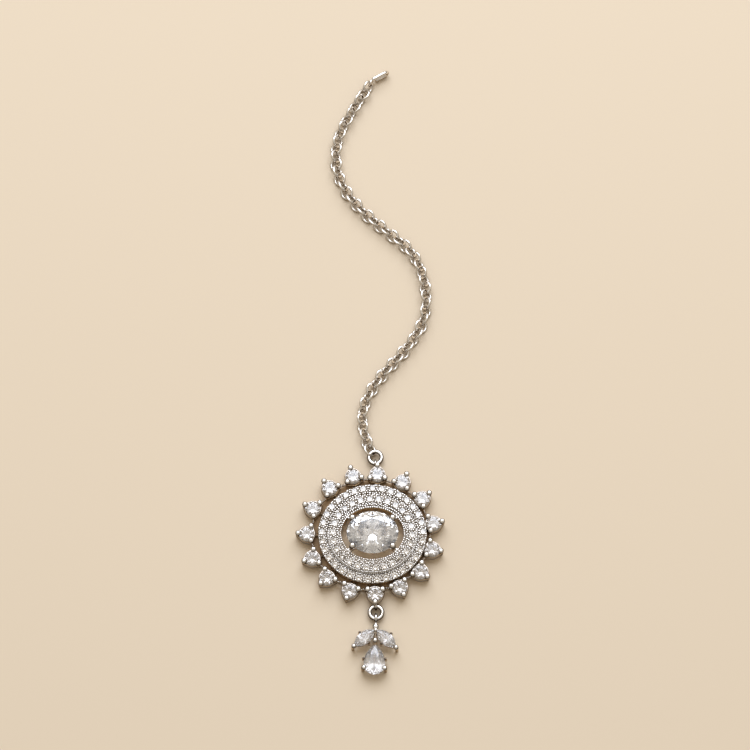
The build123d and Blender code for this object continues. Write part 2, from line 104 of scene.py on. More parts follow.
def wiped_facets():
    """The haze left on a lapped facet, as its roughness."""
    group, given, made = new_group("wiped_facets", {"Scale": WIPE_SCALE, "Haze": 0.03}, {"Roughness": 0.0})
    place = add_node(group, "TexCoord")
    cloud = add_node(group, "TexNoise", {"Detail": 3.0})
    haze = add_node(group, "Math", operation="MULTIPLY")
    join(
        group, (place, "Object", cloud, "Vector"), (given, "Scale", cloud, "Scale"), (cloud, "Fac", haze, 0),
        (given, "Haze", haze, 1), (haze, 0, made, "Roughness"),
    )
    return group


def new_material(name, shader_values, finish_group, finish_values):
    """A material whose roughness comes from a finish group, its node tree, shader and finish."""
    material = bpy.data.materials.new(name)
    material.use_nodes = True
    tree = material.node_tree
    shader = set_sockets(tree.nodes["Principled BSDF"], shader_values)
    finish = add_node(tree, "Group", finish_values, node_tree=finish_group)
    join(tree, (finish, "Roughness", shader, "Roughness"))
    return material, tree, shader, finish


facet_finish = wiped_facets()


def clear_zirconia(name, tint, haze, clear=1.0, gloss=0.5):
    """Cut zirconia: its tint, the haze on its facets, and how clear and how glossy it is."""
    shader_values = {
        "Base Color": tint, "Metallic": 0.0, "IOR": STONE_IOR, "Transmission Weight": clear,
        "Specular IOR Level": gloss,
    }
    return new_material(name, shader_values, facet_finish, {"Scale": WIPE_SCALE, "Haze": haze})[0]


large_look = clear_zirconia("large_zirconia", LARGE_TINT, haze=0.075, clear=0.9, gloss=0.4)
small_look = clear_zirconia("small_zirconia", SMALL_TINT, haze=0.2, clear=0.97)
drop_look = clear_zirconia("drop_zirconia", DROP_TINT, haze=0.48, clear=0.9)
for name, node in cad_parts.items():
    if "stone" in name:
        look = drop_look
        if name == "centre_stone":
            look = large_look
        elif name.startswith("sun_stone"):
            look = small_look
        for slot in node.material_slots:
            slot.link = "OBJECT"
            slot.material = look

# ---- pave plate ----------------------------------------------
# Cast oval plate in silver with rhodium plating, open in the middle and stepped once. The setter
# drills a seat for each small stone, raises beads round it and runs a milgrain wheel along the edges.

MM = 0.001
stone_low, stone_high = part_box("centre_stone")
MIDDLE = (stone_low + stone_high) / 2 / MM
OPENING = (7.3, 6.17)
RIM = (12.66, 11.9)
PLATE_AROUND = 1080
# the plate's top, then its rim, underside and inner wall: share of the way from opening to rim, height
PLATE_TOP = [
    (0.000, 3.30), (0.008, 3.42), (0.03, 3.50), (0.08, 3.55), (0.16, 3.60), (0.28, 3.68), (0.38, 3.70),
    (0.48, 3.66), (0.53, 3.62), (0.552, 3.58), (0.566, 3.46), (0.574, 3.10), (0.584, 3.00), (0.62, 3.02),
    (0.72, 3.10), (0.84, 3.12), (0.93, 3.05), (0.97, 2.98), (0.99, 2.86), (1.000, 2.66),
]
PLATE_BACK = [
    (1.0, 1.66), (0.99, 1.52), (0.966, 1.46), (0.963, 0.5), (0.95, 0.42), (0.88, 0.42), (0.87, 0.5),
    (0.868, 1.5), (0.132, 1.5), (0.13, 0.5), (0.12, 0.42), (0.05, 0.42), (0.037, 0.5), (0.034, 1.48),
    (0.01, 1.54), (0.0, 1.64), (0.0, 2.4),
]
# each step of the top has this many more rings between these shares, so that seats come out round
INNER_STEP = (0.02, 0.56)
OUTER_STEP = (0.6, 0.98)
STEP_RINGS = 27
# the two rows of stones: share of the way, how many, how far they are moved round, lean in degrees
PAVE_ROWS = [(0.842, 33, 0.0, 7.0), (0.365, 26, -0.7, 5.0)]
PAVE_STONE = 1.6
SEAT_BEVEL = 0.06
SEAT_EDGE = 0.1
SEAT_SLOPE = 0.86
# a row of small drilled pits along the step's foot, in the plate's upper half
PIT_ROW = 0.59
PIT_PLACES = 112
PIT_SHIFT = 0.2
PIT_LOWEST = 1.0
PIT = 0.2
PIT_WALL = 0.08
PIT_DEPTH = 0.45
# painted shade: the plate is coloured near black as the shade between its beads, darker still in recesses,
# and its upright walls are painted a warm reflection of the floor
PLATE_SHADE_TONE = (0.17, 0.14, 0.11, 1.0)
PLATE_RECESS_SHADE = (0.10, 0.08, 0.06, 1.0)
PLATE_SIDE_REFLECTION = (0.85, 0.66, 0.42, 1.0)
EDGE_TINT = (0.5, 0.42, 0.34, 1.0)


def build_piece(name, shells, material, edge_angle=38.0):
    """One object out of shells of (points in millimetres, faces), riding on the ornament.
    Faces that meet below edge_angle are shaded smooth. With no edge_angle all are flat."""
    points, faces = [], []
    for shell_points, shell_faces in shells:
        start = sum(len(p) for p in points)
        points.append(np.asarray(shell_points, float))
        faces.extend([tuple(i + start for i in face) for face in shell_faces])
    mesh = bpy.data.meshes.new(name)
    mesh.from_pydata((np.concatenate(points) * MM).tolist(), [], faces)
    mesh.validate()
    mesh.polygons.foreach_set("use_smooth", [edge_angle is not None] * len(mesh.polygons))
    if edge_angle is not None:
        mesh.set_sharp_from_angle(angle=radians(edge_angle))
    mesh.materials.append(material)
    piece = bpy.data.objects.new(name, mesh)
    bpy.context.scene.collection.objects.link(piece)
    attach(piece, "root")
    return piece


def once_round(count):
    """Evenly spaced angles once round, in radians."""
    return np.arange(count) / count * 2 * pi


def level_ring(x, y, z):
    """Points x, y, all at one height."""
    return np.stack([x, y, np.full(len(x), z)], 1)


def strips(rows, around, closed=True, flip=False):
    """Faces between neighbouring rings of points, and from the last ring to the first if closed."""
    faces = []
    for row in range(rows if closed else rows - 1):
        low, high = row * around, (row + 1) % rows * around
        for k in range(around):
            after = (k + 1) % around
            if flip:
                faces.append((low + k, low + after, high + after, high + k))
            else:
                faces.append((low + k, high + k, high + after, low + after))
    return faces


def plate_oval(u):
    """Half axes of the oval a share u of the way from the opening to the rim."""
    return OPENING[0] + (RIM[0] - OPENING[0]) * u, OPENING[1] + (RIM[1] - OPENING[1]) * u


def plate_height(u):
    return float(np.interp(u, [p[0] for p in PLATE_TOP], [p[1] for p in PLATE_TOP]))


def along_oval(u, count, shift=0.0):
    """Evenly spaced places round an oval, as (x, y, outward x, outward y). The first is at the top,
    moved clockwise by shift millimetres."""
    a, b = plate_oval(u)
    turn = np.linspace(0, 2 * pi, 4001)
    x, y = a * np.sin(turn), b * np.cos(turn)
    run = np.concatenate([[0], np.cumsum(np.hypot(np.diff(x), np.diff(y)))])
    at = np.interp((np.arange(count) / count * run[-1] + shift) % run[-1], run, turn)
    nx, ny = np.sin(at) / a, np.cos(at) / b
    size = np.hypot(nx, ny)
    return list(zip(a * np.sin(at), b * np.cos(at), nx / size, ny / size))


stone_rows = [(u, lean, along_oval(u, count, shift)) for u, count, shift, lean in PAVE_ROWS]
stone_places = np.array([(x, y) for _, _, row in stone_rows for x, y, _, _ in row])
pits = along_oval(PIT_ROW, PIT_PLACES, PIT_SHIFT)
pit_places = np.array([(x, y) for x, y, _, _ in pits if y > PIT_LOWEST])


def pave_plate():
    """The plate's skin as rings of points from the opening over the top and back under, with stone
    seats and drill pits pressed into the top."""
    between = [np.linspace(*step, STEP_RINGS) for step in (INNER_STEP, OUTER_STEP)]
    shares = np.unique(np.concatenate([[p[0] for p in PLATE_TOP], *between]))
    top = [(u, plate_height(u)) for u in shares]
    turn = once_round(PLATE_AROUND)
    rings = []
    for u, z in top + PLATE_BACK:
        a, b = plate_oval(u)
        rings.append(level_ring(a * np.sin(turn), b * np.cos(turn), z))
    skin = np.stack(rings)
    on_top = skin[: len(top)]
    radius = PAVE_STONE / 2
    for x, y in stone_places:
        away = np.hypot(on_top[..., 0] - x, on_top[..., 1] - y)
        edge = np.clip((radius + SEAT_BEVEL - away) / SEAT_BEVEL, 0, 1)
        on_top[..., 2] -= edge * (SEAT_EDGE + SEAT_SLOPE * np.clip(radius - away, 0, None))
    for x, y in pit_places:
        away = np.hypot(on_top[..., 0] - x, on_top[..., 1] - y)
        on_top[..., 2] -= PIT_DEPTH * np.clip((PIT - away) / PIT_WALL, 0, 1)
    return skin.reshape(-1, 3) + np.array([MIDDLE.x, MIDDLE.y, 0]), strips(len(rings), PLATE_AROUND)


def polish_and_painted_light():
    """Bright plated metal as the polisher leaves it: colour, roughness and height. Recesses that the
    mop can't reach stay duller and are painted darker as shade, and flanks take a painted side colour:
    dark shade on most metals, a warm reflection of the floor where it is lighter."""
    group, given, made = new_group(
        "polish_and_painted_light",
        {
            "Plate": PLATE_SHADE_TONE, "Recess Shade": PLATE_RECESS_SHADE, "Side": PLATE_SIDE_REFLECTION, "Reach": 0.6 * MM,
            "Cloud Scale": 700.0, "Mark Scale": 5200.0, "Bright": 0.07, "Dull": 0.3, "Flank From": 0.12,
            "Flank To": 0.62,
        },
        {"Color": PLATE_SHADE_TONE, "Roughness": 0.5, "Height": 0.0},
    )

    # cloudy patches, and fine marks drawn out along the strokes of the mop
    place = add_node(group, "TexCoord")
    cloud = add_node(group, "TexNoise", {"Detail": 4.0})
    stretch = add_node(group, "Mapping", {"Scale": (1.0, 0.12, 0.4), "Rotation": (0.2, 0.1, 0.6)})
    marks = add_node(group, "TexNoise", {"Detail": 5.0})
    join(
        group, (place, "Object", cloud, "Vector"), (given, "Cloud Scale", cloud, "Scale"),
        (place, "Object", stretch, "Vector"), (stretch, "Vector", marks, "Vector"),
        (given, "Mark Scale", marks, "Scale"),
    )

    # how hidden a place is, which paints shade into recesses, and how upright its face, which paints the
    # side colour onto flanks
    open_sky = add_node(group, "AmbientOcclusion", samples=6)
    recess_shade_amount = add_node(group, "MapRange", {"From Min": 0.1, "From Max": 0.6, "To Min": 1.0, "To Max": 0.0})
    facing = add_node(group, "NewGeometry")
    upright = add_node(group, "SeparateXYZ")
    flank = add_node(group, "MapRange", {"To Min": 1.0, "To Max": 0.0}, interpolation_type="SMOOTHSTEP")
    join(
        group, (given, "Reach", open_sky, "Distance"), (open_sky, "AO", recess_shade_amount, "Value"),
        (facing, "Normal", upright, 0), (upright, "Z", flank, "Value"),
        (given, "Flank From", flank, "From Min"), (given, "Flank To", flank, "From Max"),
    )

    # colour: the painted side colour on flanks, then the painted shade in recesses, shifted a little by the
    # cloudy patches
    body = add_node(group, "Mix", data_type="RGBA")
    tone = add_node(group, "Mix", data_type="RGBA")
    value = add_node(group, "MapRange", {"To Min": 0.93, "To Max": 1.05})
    shift = add_node(group, "HueSaturation")
    join(
        group, (flank, "Result", body, "Factor"), (given, "Plate", body, "A"), (given, "Side", body, "B"),
        (recess_shade_amount, "Result", tone, "Factor"), (body, "Result", tone, "A"), (given, "Recess Shade", tone, "B"),
        (cloud, "Fac", value, "Value"), (value, "Result", shift, "Value"), (tone, "Result", shift, "Color"),
        (shift, "Color", made, "Color"),
    )

    # roughness and height
    blend = add_node(group, "Math", operation="MULTIPLY")
    most = add_node(group, "Math", operation="MAXIMUM")
    rough = add_node(group, "MapRange")
    join(
        group, (marks, "Fac", blend, 0), (cloud, "Fac", blend, 1), (blend, 0, most, 0),
        (recess_shade_amount, "Result", most, 1), (most, 0, rough, "Value"), (given, "Bright", rough, "To Min"),
        (given, "Dull", rough, "To Max"), (rough, "Result", made, "Roughness"),
        (marks, "Fac", made, "Height"),
    )
    return group


polish_and_light_group = polish_and_painted_light()


def plated_metal(name, plate, recess_shade_colour, side, reach, bright, dull, relief=0.002, flank=(0.12, 0.62)):
    """Plated silver in three colours: its own for open faces, painted shade for recesses and a painted
    side colour for flanks, which is shade where it is darker and a floor reflection where it is lighter.
    Metal within reach millimetres makes a recess. The finish runs from bright to dull, with marks relief
    millimetres high. A face is all side colour up to the first flank, and none of it from the second."""
    finish_values = {
        "Plate": plate, "Recess Shade": recess_shade_colour, "Side": side, "Reach": reach * MM, "Bright": bright, "Dull": dull,
        "Flank From": flank[0], "Flank To": flank[1],
    }
    material, tree, shader, finish = new_material(
        name, {"Metallic": 1.0, "Specular Tint": EDGE_TINT}, polish_and_light_group, finish_values
    )
    bump = add_node(tree, "Bump", {"Distance": relief * MM, "Strength": 0.5})
    join(
        tree, (finish, "Color", shader, "Base Color"), (finish, "Height", bump, "Height"),
        (bump, "Normal", shader, "Normal"),
    )
    return material


plate_look = plated_metal(
    "rhodium_plate", PLATE_SHADE_TONE, PLATE_RECESS_SHADE, PLATE_SIDE_REFLECTION, reach=0.5, bright=0.3, dull=0.5
)
plate = build_piece("pave_plate", [pave_plate()], plate_look)
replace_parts(plate, "pendant_frame")

# ---- pave beads and milgrain ---------------------------------
# Grains of the plate's own metal, cut up with a graver and rounded with a beading tool. Four hold
# each stone and more fill the gaps. Rolled milgrain lines the opening, the step's edges and the rim.

GRAIN_AROUND = 9
# a grain's outline as shares of its radius: out from its middle, up
GRAIN_OUTLINE = [(0.0, -0.4), (0.84, -0.3), (1.0, 0.05), (0.95, 0.3), (0.78, 0.48), (0.45, 0.6), (0.0, 0.64)]
GRAIN_LIFT = 0.1
GRAIN_TILT = 0.12
GRAIN_LEAN = 0.17
# rows of milgrain: share of the way from the opening to the rim, spacing and size in millimetres
STEP_FOOT = 0.612
MILGRAIN = [(0.035, 0.52, 0.48), (0.548, 0.38, 0.38), (STEP_FOOT, 0.48, 0.44), (0.965, 0.5, 0.42)]
# below this line the row at the step's foot climbs a little up the step
CLIMB_BELOW = 1.5
CLIMB_IN = 0.13
CLIMB_UP = 0.2
# the four beads at each stone
CLAW = 0.44
CLAW_REACH = PAVE_STONE / 2 + 0.1
CLAW_ACROSS = 0.72
CLAW_OUT = 0.69
CLAW_LIFT = 0.03
SCATTER_TRIES = 40000
RECESS_SHADE = (0.16, 0.13, 0.10, 1.0)
BALL_SHADE = (0.18, 0.14, 0.105, 1.0)
BEAD_TONE = (0.88, 0.84, 0.80, 1.0)
hand = np.random.default_rng(4)


def revolved(outline, around, at):
    """A shell turned about the vertical through at. outline is (radius, height) pairs from one end of
    the axis to the other."""
    turn = once_round(around)
    points, rows = [], []
    for radius, height in outline:
        first = sum(len(p) for p in points)
        if radius < 1e-6:
            rows.append([first])
            points.append(np.array([[0.0, 0.0, height]]))
        else:
            rows.append(list(range(first, first + around)))
            points.append(level_ring(radius * np.cos(turn), radius * np.sin(turn), height))
    faces = []
    for low, high in zip(rows, rows[1:]):
        for k in range(around):
            after = (k + 1) % around
            if len(low) == 1:
                faces.append((low[0], high[after], high[k]))
            elif len(high) == 1:
                faces.append((low[k], low[after], high[0]))
            else:
                faces.append((low[k], low[after], high[after], high[k]))
    return np.concatenate(points) + np.array(at), faces


def grain(x, y, z, size):
    """A grain standing on the plate, its top pressed nearly flat and seldom quite level: it leans
    outwards, as the plate is domed, with the hand's scatter."""
    outward = np.array([x, y]) / hypot(x, y)
    tilt = hand.normal(0, GRAIN_TILT, 2) - GRAIN_LEAN * outward
    outline = [(size / 2 * out, size / 2 * up) for out, up in GRAIN_OUTLINE]
    points, faces = revolved(outline, GRAIN_AROUND, (0, 0, GRAIN_LIFT))
    points[:, 2] += points[:, 0] * tilt[0] + points[:, 1] * tilt[1]
    return points + np.array([MIDDLE.x + x, MIDDLE.y + y, z]), faces


def clearance(x, y, places):
    return float(np.hypot(places[:, 0] - x, places[:, 1] - y).min())


def has_room(x, y, from_stone, from_pit):
    """Whether a place is far enough from every stone's edge and every pit's middle."""
    off_stones = clearance(x, y, stone_places) > PAVE_STONE / 2 + from_stone
    return off_stones and clearance(x, y, pit_places) > from_pit


def scatter(taken, band, from_stone, from_pit, pitch, size, spread):
    """Grains raised at random in a band of the plate, each with room round it and at least a pitch
    from those before it, and the places taken with theirs added."""
    made = []
    for _ in range(SCATTER_TRIES):
        u, bearing = hand.uniform(*band), hand.uniform(0, 2 * pi)
        a, b = plate_oval(u)
        x, y = a * sin(bearing), b * cos(bearing)
        if has_room(x, y, from_stone, from_pit) and clearance(x, y, taken) >= pitch:
            taken = np.vstack([taken, (x, y)])
            made.append(grain(x, y, plate_height(u), size * hand.uniform(*spread)))
    return made, taken


beads, taken = [], []
for u, _, row in stone_rows:
    for x, y, nx, ny in row:
        for out in (-CLAW_OUT, CLAW_OUT):
            for across in (-CLAW_ACROSS, CLAW_ACROSS):
                bead_x = x + CLAW_REACH * (across * ny + out * nx)
                bead_y = y + CLAW_REACH * (out * ny - across * nx)
                taken.append((bead_x, bead_y))
                beads.append(grain(bead_x, bead_y, plate_height(u) + CLAW_LIFT, CLAW))
for u, spacing, size in MILGRAIN:
    a, b = plate_oval(u)
    way_round = pi * (3 * (a + b) - ((3 * a + b) * (a + 3 * b)) ** 0.5)
    for x, y, nx, ny in along_oval(u, round(way_round / spacing)):
        lift = 0.0
        if u == STEP_FOOT and y < CLIMB_BELOW:
            x, y, lift = x - CLIMB_IN * nx, y - CLIMB_IN * ny, CLIMB_UP
        if has_room(x, y, from_stone=0.15, from_pit=0.3):
            taken.append((x, y))
            beads.append(grain(x, y, plate_height(u) + lift, size))
taken = np.array(taken)
more, taken = scatter(
    taken, band=(0.05, 0.95), from_stone=0.16, from_pit=0.24, pitch=0.43, size=0.47, spread=(0.9, 1.08)
)
fill, taken = scatter(
    taken, band=(0.03, 0.97), from_stone=0.1, from_pit=0.2, pitch=0.41, size=0.34, spread=(0.85, 1.1)
)
bead_look = plated_metal(
    "rhodium_beads", BEAD_TONE, RECESS_SHADE, BALL_SHADE, reach=0.3, bright=0.2, dull=0.4, relief=0.001
)
for name, shells in (("pave_beads", beads + more), ("pave_fill", fill)):
    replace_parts(build_piece(name, shells, bead_look), "pendant_frame")

# ---- pave stones ---------------------------------------------
# Fifty-nine small round brilliants dropped into the drilled seats, one row on each step. The rows
# lean outwards a little, as the plate does, and no stone sits quite like its neighbour.

PAVE_TINT = (0.88, 0.83, 0.78, 1.0)
LEAN_SCATTER = 1.2
SUNK = 0.02
# shares of the stone's radius: width of its table, heights of crown, girdle and pavilion, lower break
TABLE = 0.72
CROWN = 0.19
GIRDLE = 0.06
PAVILION = 0.84
LOWER_BREAK = 0.22


def small_brilliant(size, at, lean, way, turn):
    """A round brilliant with its girdle's top at at, tipped by lean degrees towards way."""
    r = size / 2
    table, crown, girdle, pavilion, low = TABLE * r, CROWN * r, GIRDLE * r, PAVILION * r, LOWER_BREAK * r
    middle = 0.5 * (table * cos(pi / 8) + r)
    middle_z = crown * (r - middle * cos(pi / 8)) / (r - table)
    low_z = -girdle - pavilion * (1 - low * cos(pi / 8) / r)
    # points 0-7 table, 8-15 crown, 16-31 top of the girdle, 32-47 its foot, 48-55 pavilion, 56 culet
    rows = [
        (table, crown, 8, 0), (middle, middle_z, 8, 0.5), (r, 0.0, 16, 0), (r, -girdle, 16, 0),
        (low, low_z, 8, 0.5),
    ]
    points = []
    for radius, z, count, half in rows:
        for k in range(count):
            angle = 2 * pi * (k + half) / count + turn
            points.append((radius * cos(angle), radius * sin(angle), z))
    points.append((0, 0, -girdle - pavilion))
    faces = [tuple(range(8))]
    for k in range(8):
        nxt, prev = (k + 1) % 8, (k - 1) % 8
        faces.append((k, 8 + k, nxt))
        faces.append((k, 8 + prev, 16 + 2 * k, 8 + k))
        faces.append((8 + k, 16 + 2 * k, 17 + 2 * k))
        faces.append((8 + k, 17 + 2 * k, 16 + (2 * k + 2) % 16))
        faces.append((32 + 2 * k, 48 + prev, 56, 48 + k))
        faces.append((33 + 2 * k, 32 + 2 * k, 48 + k))
        faces.append((32 + (2 * k + 2) % 16, 33 + 2 * k, 48 + k))
    for k in range(16):
        faces.append((16 + k, 32 + k, 32 + (k + 1) % 16, 16 + (k + 1) % 16))
    p = np.array(points)
    tip = radians(lean)
    along = p[:, 0] * way[0] + p[:, 1] * way[1]
    shift = along * (cos(tip) - 1) + p[:, 2] * sin(tip)
    z = -along * sin(tip) + p[:, 2] * cos(tip)
    return np.stack([p[:, 0] + shift * way[0], p[:, 1] + shift * way[1], z], 1) + np.array(at), faces


settled = np.random.default_rng(21)
small_stones = []
for u, lean, row in stone_rows:
    for x, y, nx, ny in row:
        tilt, turn = settled.normal(0, LEAN_SCATTER), settled.uniform(0, pi / 4)
        at = (MIDDLE.x + x, MIDDLE.y + y, plate_height(u) - SUNK)
        small_stones.append(small_brilliant(PAVE_STONE, at, lean + tilt, (nx, ny), turn))
pave_look = clear_zirconia("pave_zirconia", PAVE_TINT, haze=0.16)
pave_stones = build_piece("pave_stones", small_stones, pave_look, edge_angle=None)
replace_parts(pave_stones, "pendant_frame")

# ---- sun settings --------------------------------------------
# Fifteen cast cups with two rails, each with three round posts melted to a ball at the tip. The
# balls are pushed over the stone's edge.

SUN_NAMES = sorted(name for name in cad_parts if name.startswith("sun_stone"))
SUN_POST_AT = 2.15
POST = 0.35
SUN_POST_FOOT = 0.2
SUN_BALL = 0.65
SUN_BALL_Z = 3.55
SUN_LEAN = 0.15
# the top and bottom cups stand on the middle line. Their outer posts are short, to clear the loops
ON_LINE = 1.5
SHORT_POST_FOOT = 1.75
POST_AROUND = 20
PRESSED = 0.7
CUP = 1.98
CUP_AROUND = 72
# the cup's skin, from the seat outwards, down and back inside: radius or share of the outline, height
CUP_SKIN = [
    (1.20, 0, 1.95), (1.60, 0, 2.42), (1.70, 0, 2.5), (0, 0.955, 2.46), (0, 1.0, 2.25),
    (0, 0.99, 1.9), (0, 0.97, 1.82), (0, 0.91, 1.78), (0, 0.91, 1.5), (0, 0.99, 1.45),
    (0, 1.03, 1.36), (0, 1.03, 1.12), (0, 1.0, 1.02), (1.78, 0, 0.92), (1.76, 0, 0.12),
    (1.7, 0, 0.02), (1.02, 0, 0.02), (0.92, 0, 0.12), (0.92, 0, 1.5), (0.98, 0, 1.7),
]
# painted shade: the cups, link bars and drop trays are coloured darker than the plating they share with the
# posts and balls, so that their flat tops give back less light
CUP_SHADED_TONE = (0.42, 0.365, 0.31, 1.0)
WALL_SHADE = (0.54, 0.44, 0.33, 1.0)
PRONG_WHITE = (0.89, 0.865, 0.84, 1.0)
RHODIUM = (0.985, 0.945, 0.905, 1.0)
# the posts take painted shade in their recesses and a painted light beige reflection of the floor on their
# flanks
POST_RECESS_SHADE = (0.52, 0.44, 0.35, 1.0)
POST_SIDE_REFLECTION = (0.80, 0.72, 0.61, 1.0)


def cup_outline(turn):
    """How far the cup reaches on each bearing from its outer post: round, with straight walls that
    run out to the three posts."""
    off = np.abs((turn + pi / 3) % (2 * pi / 3) - pi / 3)
    touch = acos((CUP - POST) / SUN_POST_AT)
    end = atan2(POST * sin(touch), SUN_POST_AT + POST * cos(touch))
    square = POST**2 - (SUN_POST_AT * np.sin(off)) ** 2
    at_post = SUN_POST_AT * np.cos(off) + np.sqrt(np.clip(square, 0, None))
    wall = CUP / np.cos(touch - off)
    return np.where(off < end, at_post, np.where(off < touch, wall, CUP))


def sun_cup(x, y, aim):
    turn = once_round(CUP_AROUND)
    reach = cup_outline(turn)
    rings = []
    for radius, share, z in CUP_SKIN:
        r = radius + reach * share
        rings.append(level_ring(x + r * np.sin(turn + aim), y + r * np.cos(turn + aim), z))
    return np.concatenate(rings), strips(len(rings), CUP_AROUND)


def ball_post(x, y, foot, tip, thick, ball, lean, toward):
    """A round post and the ball melted at its tip, pressed nearly flat on top and pushed sideways by
    lean along toward."""
    neck = tip - 0.8 * ball
    stem = [(0.0, foot), (thick * 0.85, foot), (thick, foot + 0.1)]
    stem += [(thick, foot + (neck - foot) * share) for share in (0.35, 0.7)]
    stem += [(thick * 0.94, neck + 0.05), (0.0, neck + 0.05)]
    melted = [(0.0, tip - 0.9 * ball)]
    for t in np.linspace(0.5, pi - 0.25, 15):
        melted.append((ball * sin(t), tip - ball * cos(t) * (1 if t < pi / 2 else PRESSED)))
    melted.append((0.0, tip + ball * PRESSED * 0.985))
    made = []
    for outline in (stem, melted):
        points, faces = revolved(outline, POST_AROUND, (x, y, 0))
        push = np.clip((points[:, 2] - neck + 0.5) / (tip - neck + 0.5), 0, 1) ** 1.5 * lean
        points[:, 0] += push * toward[0]
        points[:, 1] += push * toward[1]
        made.append((points, faces))
    return made


def sun_setting(name):
    """The cup, posts and balls round one stone, its middle, and where its two side posts stand."""
    low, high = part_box(name)
    x, y = (low.x + high.x) / 2 / MM, (low.y + high.y) / 2 / MM
    away = (x - MIDDLE.x, y - MIDDLE.y)
    on_line = abs(away[0]) < ON_LINE
    aim = atan2(*away)
    if on_line:
        aim = 0.0 if away[1] > 0 else pi
    posts, balls, places = [], [], []
    for turn in (0, 120, 240):
        out = (sin(aim + radians(turn)), cos(aim + radians(turn)))
        place = (x + SUN_POST_AT * out[0], y + SUN_POST_AT * out[1])
        foot = SHORT_POST_FOOT if turn == 0 and on_line else SUN_POST_FOOT
        post, ball = ball_post(*place, foot, SUN_BALL_Z, POST, SUN_BALL, SUN_LEAN, (-out[0], -out[1]))
        posts.append(post)
        balls.append(ball)
        places.append(place)
    return {
        "cup": sun_cup(x, y, aim), "posts": posts, "balls": balls,
        "middle": (x, y), "right": places[1], "left": places[2],
    }


settings = [sun_setting(name) for name in SUN_NAMES]
cup_look = plated_metal(
    "rhodium_settings", CUP_SHADED_TONE, RECESS_SHADE, WALL_SHADE, reach=0.4, bright=0.16, dull=0.4
)
post_look = plated_metal("rhodium_posts", RHODIUM, POST_RECESS_SHADE, POST_SIDE_REFLECTION, reach=0.3, bright=0.2, dull=0.45)
prong_look = plated_metal(
    "rhodium_prongs", PRONG_WHITE, RECESS_SHADE, BALL_SHADE, reach=0.3, bright=0.08, dull=0.25, relief=0.001,
    flank=(0.35, 0.92),
)
for name, shells, look in (
    ("sun_settings", [setting["cup"] for setting in settings], cup_look),
    ("sun_posts", [post for setting in settings for post in setting["posts"]], post_look),
    ("sun_prongs", [ball for setting in settings for ball in setting["balls"]], prong_look),
):
    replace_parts(build_piece(name, shells, look), "pendant_frame")

# ---- struts, link bars and gallery band ----------------------
# Wires soldered behind the plate's rim: a strut from each cup to the plate's wall, and a bent bar
# with a small ball in its middle between neighbouring cups. A flat oval band runs round below.
# The struts and the band are painted dark brown as the shadow on the floor in the gap.

# rings that round off a wire's end: share of its thickness, and how far past the end in radii
ROUNDED = ((0.75, 0.66), (0.35, 0.94))
STRUT = 0.4
STRUT_Z = 1.0
STRUT_START = 1.3
STRUT_END = 0.96  # in the plate's outer wall, as a share of the way to the rim
BAR = 0.22
BAR_BEND = 0.15
BAR_HEIGHTS = (1.7, 1.75, 1.8, 1.75, 1.7)
BAR_BALL = 0.3
BAR_BALL_Z = 2.05
BAND_AROUND = 240
BAND_INNER = (12.2, 11.45)
BAND_OUTER = (13.75, 13.25)
BAND_SHIFT = (-0.42, 0.1)
BAND_TOP = 0.9
BAND_FOOT = 0.4
# painted shadow: the band and struts are coloured dark brown, as the floor in shadow in the gap between the
# plate and the cups
BAND_SHADOW_TONE = (0.47, 0.34, 0.21, 1.0)
BAND_SHADOW_RECESS = (0.30, 0.21, 0.13, 1.0)
BAND_SHADOW_SIDE = (0.34, 0.245, 0.16, 1.0)
STRUT_SHADOW_TONE = (0.33, 0.245, 0.16, 1.0)
STRUT_SHADOW_RECESS = (0.2, 0.145, 0.095, 1.0)
STRUT_SHADOW_SIDE = (0.24, 0.175, 0.115, 1.0)


def wire(path, radius, sides=14, closed=False):
    """A round wire along the path's points, with rounded ends unless it is closed. radius may be
    one number or one per point."""
    path = np.asarray(path, float)
    count = len(path)
    radii = np.broadcast_to(np.asarray(radius, float), (count,))
    ahead = np.roll(path, -1, 0) - np.roll(path, 1, 0)
    if not closed:
        ahead[0], ahead[-1] = path[1] - path[0], path[-1] - path[-2]
    ahead /= np.linalg.norm(ahead, axis=1)[:, None]
    side = np.cross(ahead[0], [0, 0, 1])
    if np.linalg.norm(side) < 1e-3:
        side = np.cross(ahead[0], [0, 1, 0])
    side /= np.linalg.norm(side)
    around = once_round(sides)
    rings = []
    for place, r, way in zip(path, radii, ahead):
        side = side - way * np.dot(side, way)
        side /= np.linalg.norm(side)
        step = np.outer(np.cos(around), side) + np.outer(np.sin(around), np.cross(way, side))
        rings.append(place + r * step)
    points = np.concatenate(rings)
    faces = strips(count, sides, closed, flip=True)
    for end, way in () if closed else ((0, -1), (count - 1, 1)):
        row = list(range(end * sides, (end + 1) * sides))
        for share, reach in ROUNDED:
            ring = path[end] + share * (rings[end] - path[end]) + way * ahead[end] * radii[end] * reach
            new = list(range(len(points), len(points) + sides))
            points = np.concatenate([points, ring])
            for k in range(sides):
                after = (k + 1) % sides
                quad = (row[k], row[after], new[after], new[k])
                faces.append(quad if way > 0 else quad[::-1])
            row = new
        faces.append(tuple(row) if way > 0 else tuple(row[::-1]))
    return points, faces


def gallery_band():
    """A flat oval band low down, from under the plate's rim out to the bars between the cups."""
    turn = once_round(BAND_AROUND)
    section = [(0.0, BAND_TOP), (0.9, BAND_TOP), (1.0, BAND_TOP - 0.1), (1.0, BAND_FOOT), (0.0, BAND_FOOT)]
    rings = []
    for share, z in section:
        a = BAND_INNER[0] + (BAND_OUTER[0] - BAND_INNER[0]) * share
        b = BAND_INNER[1] + (BAND_OUTER[1] - BAND_INNER[1]) * share
        x = MIDDLE.x + BAND_SHIFT[0] * share + a * np.sin(turn)
        y = MIDDLE.y + BAND_SHIFT[1] * share + b * np.cos(turn)
        rings.append(level_ring(x, y, z))
    return np.concatenate(rings), strips(len(rings), BAND_AROUND)


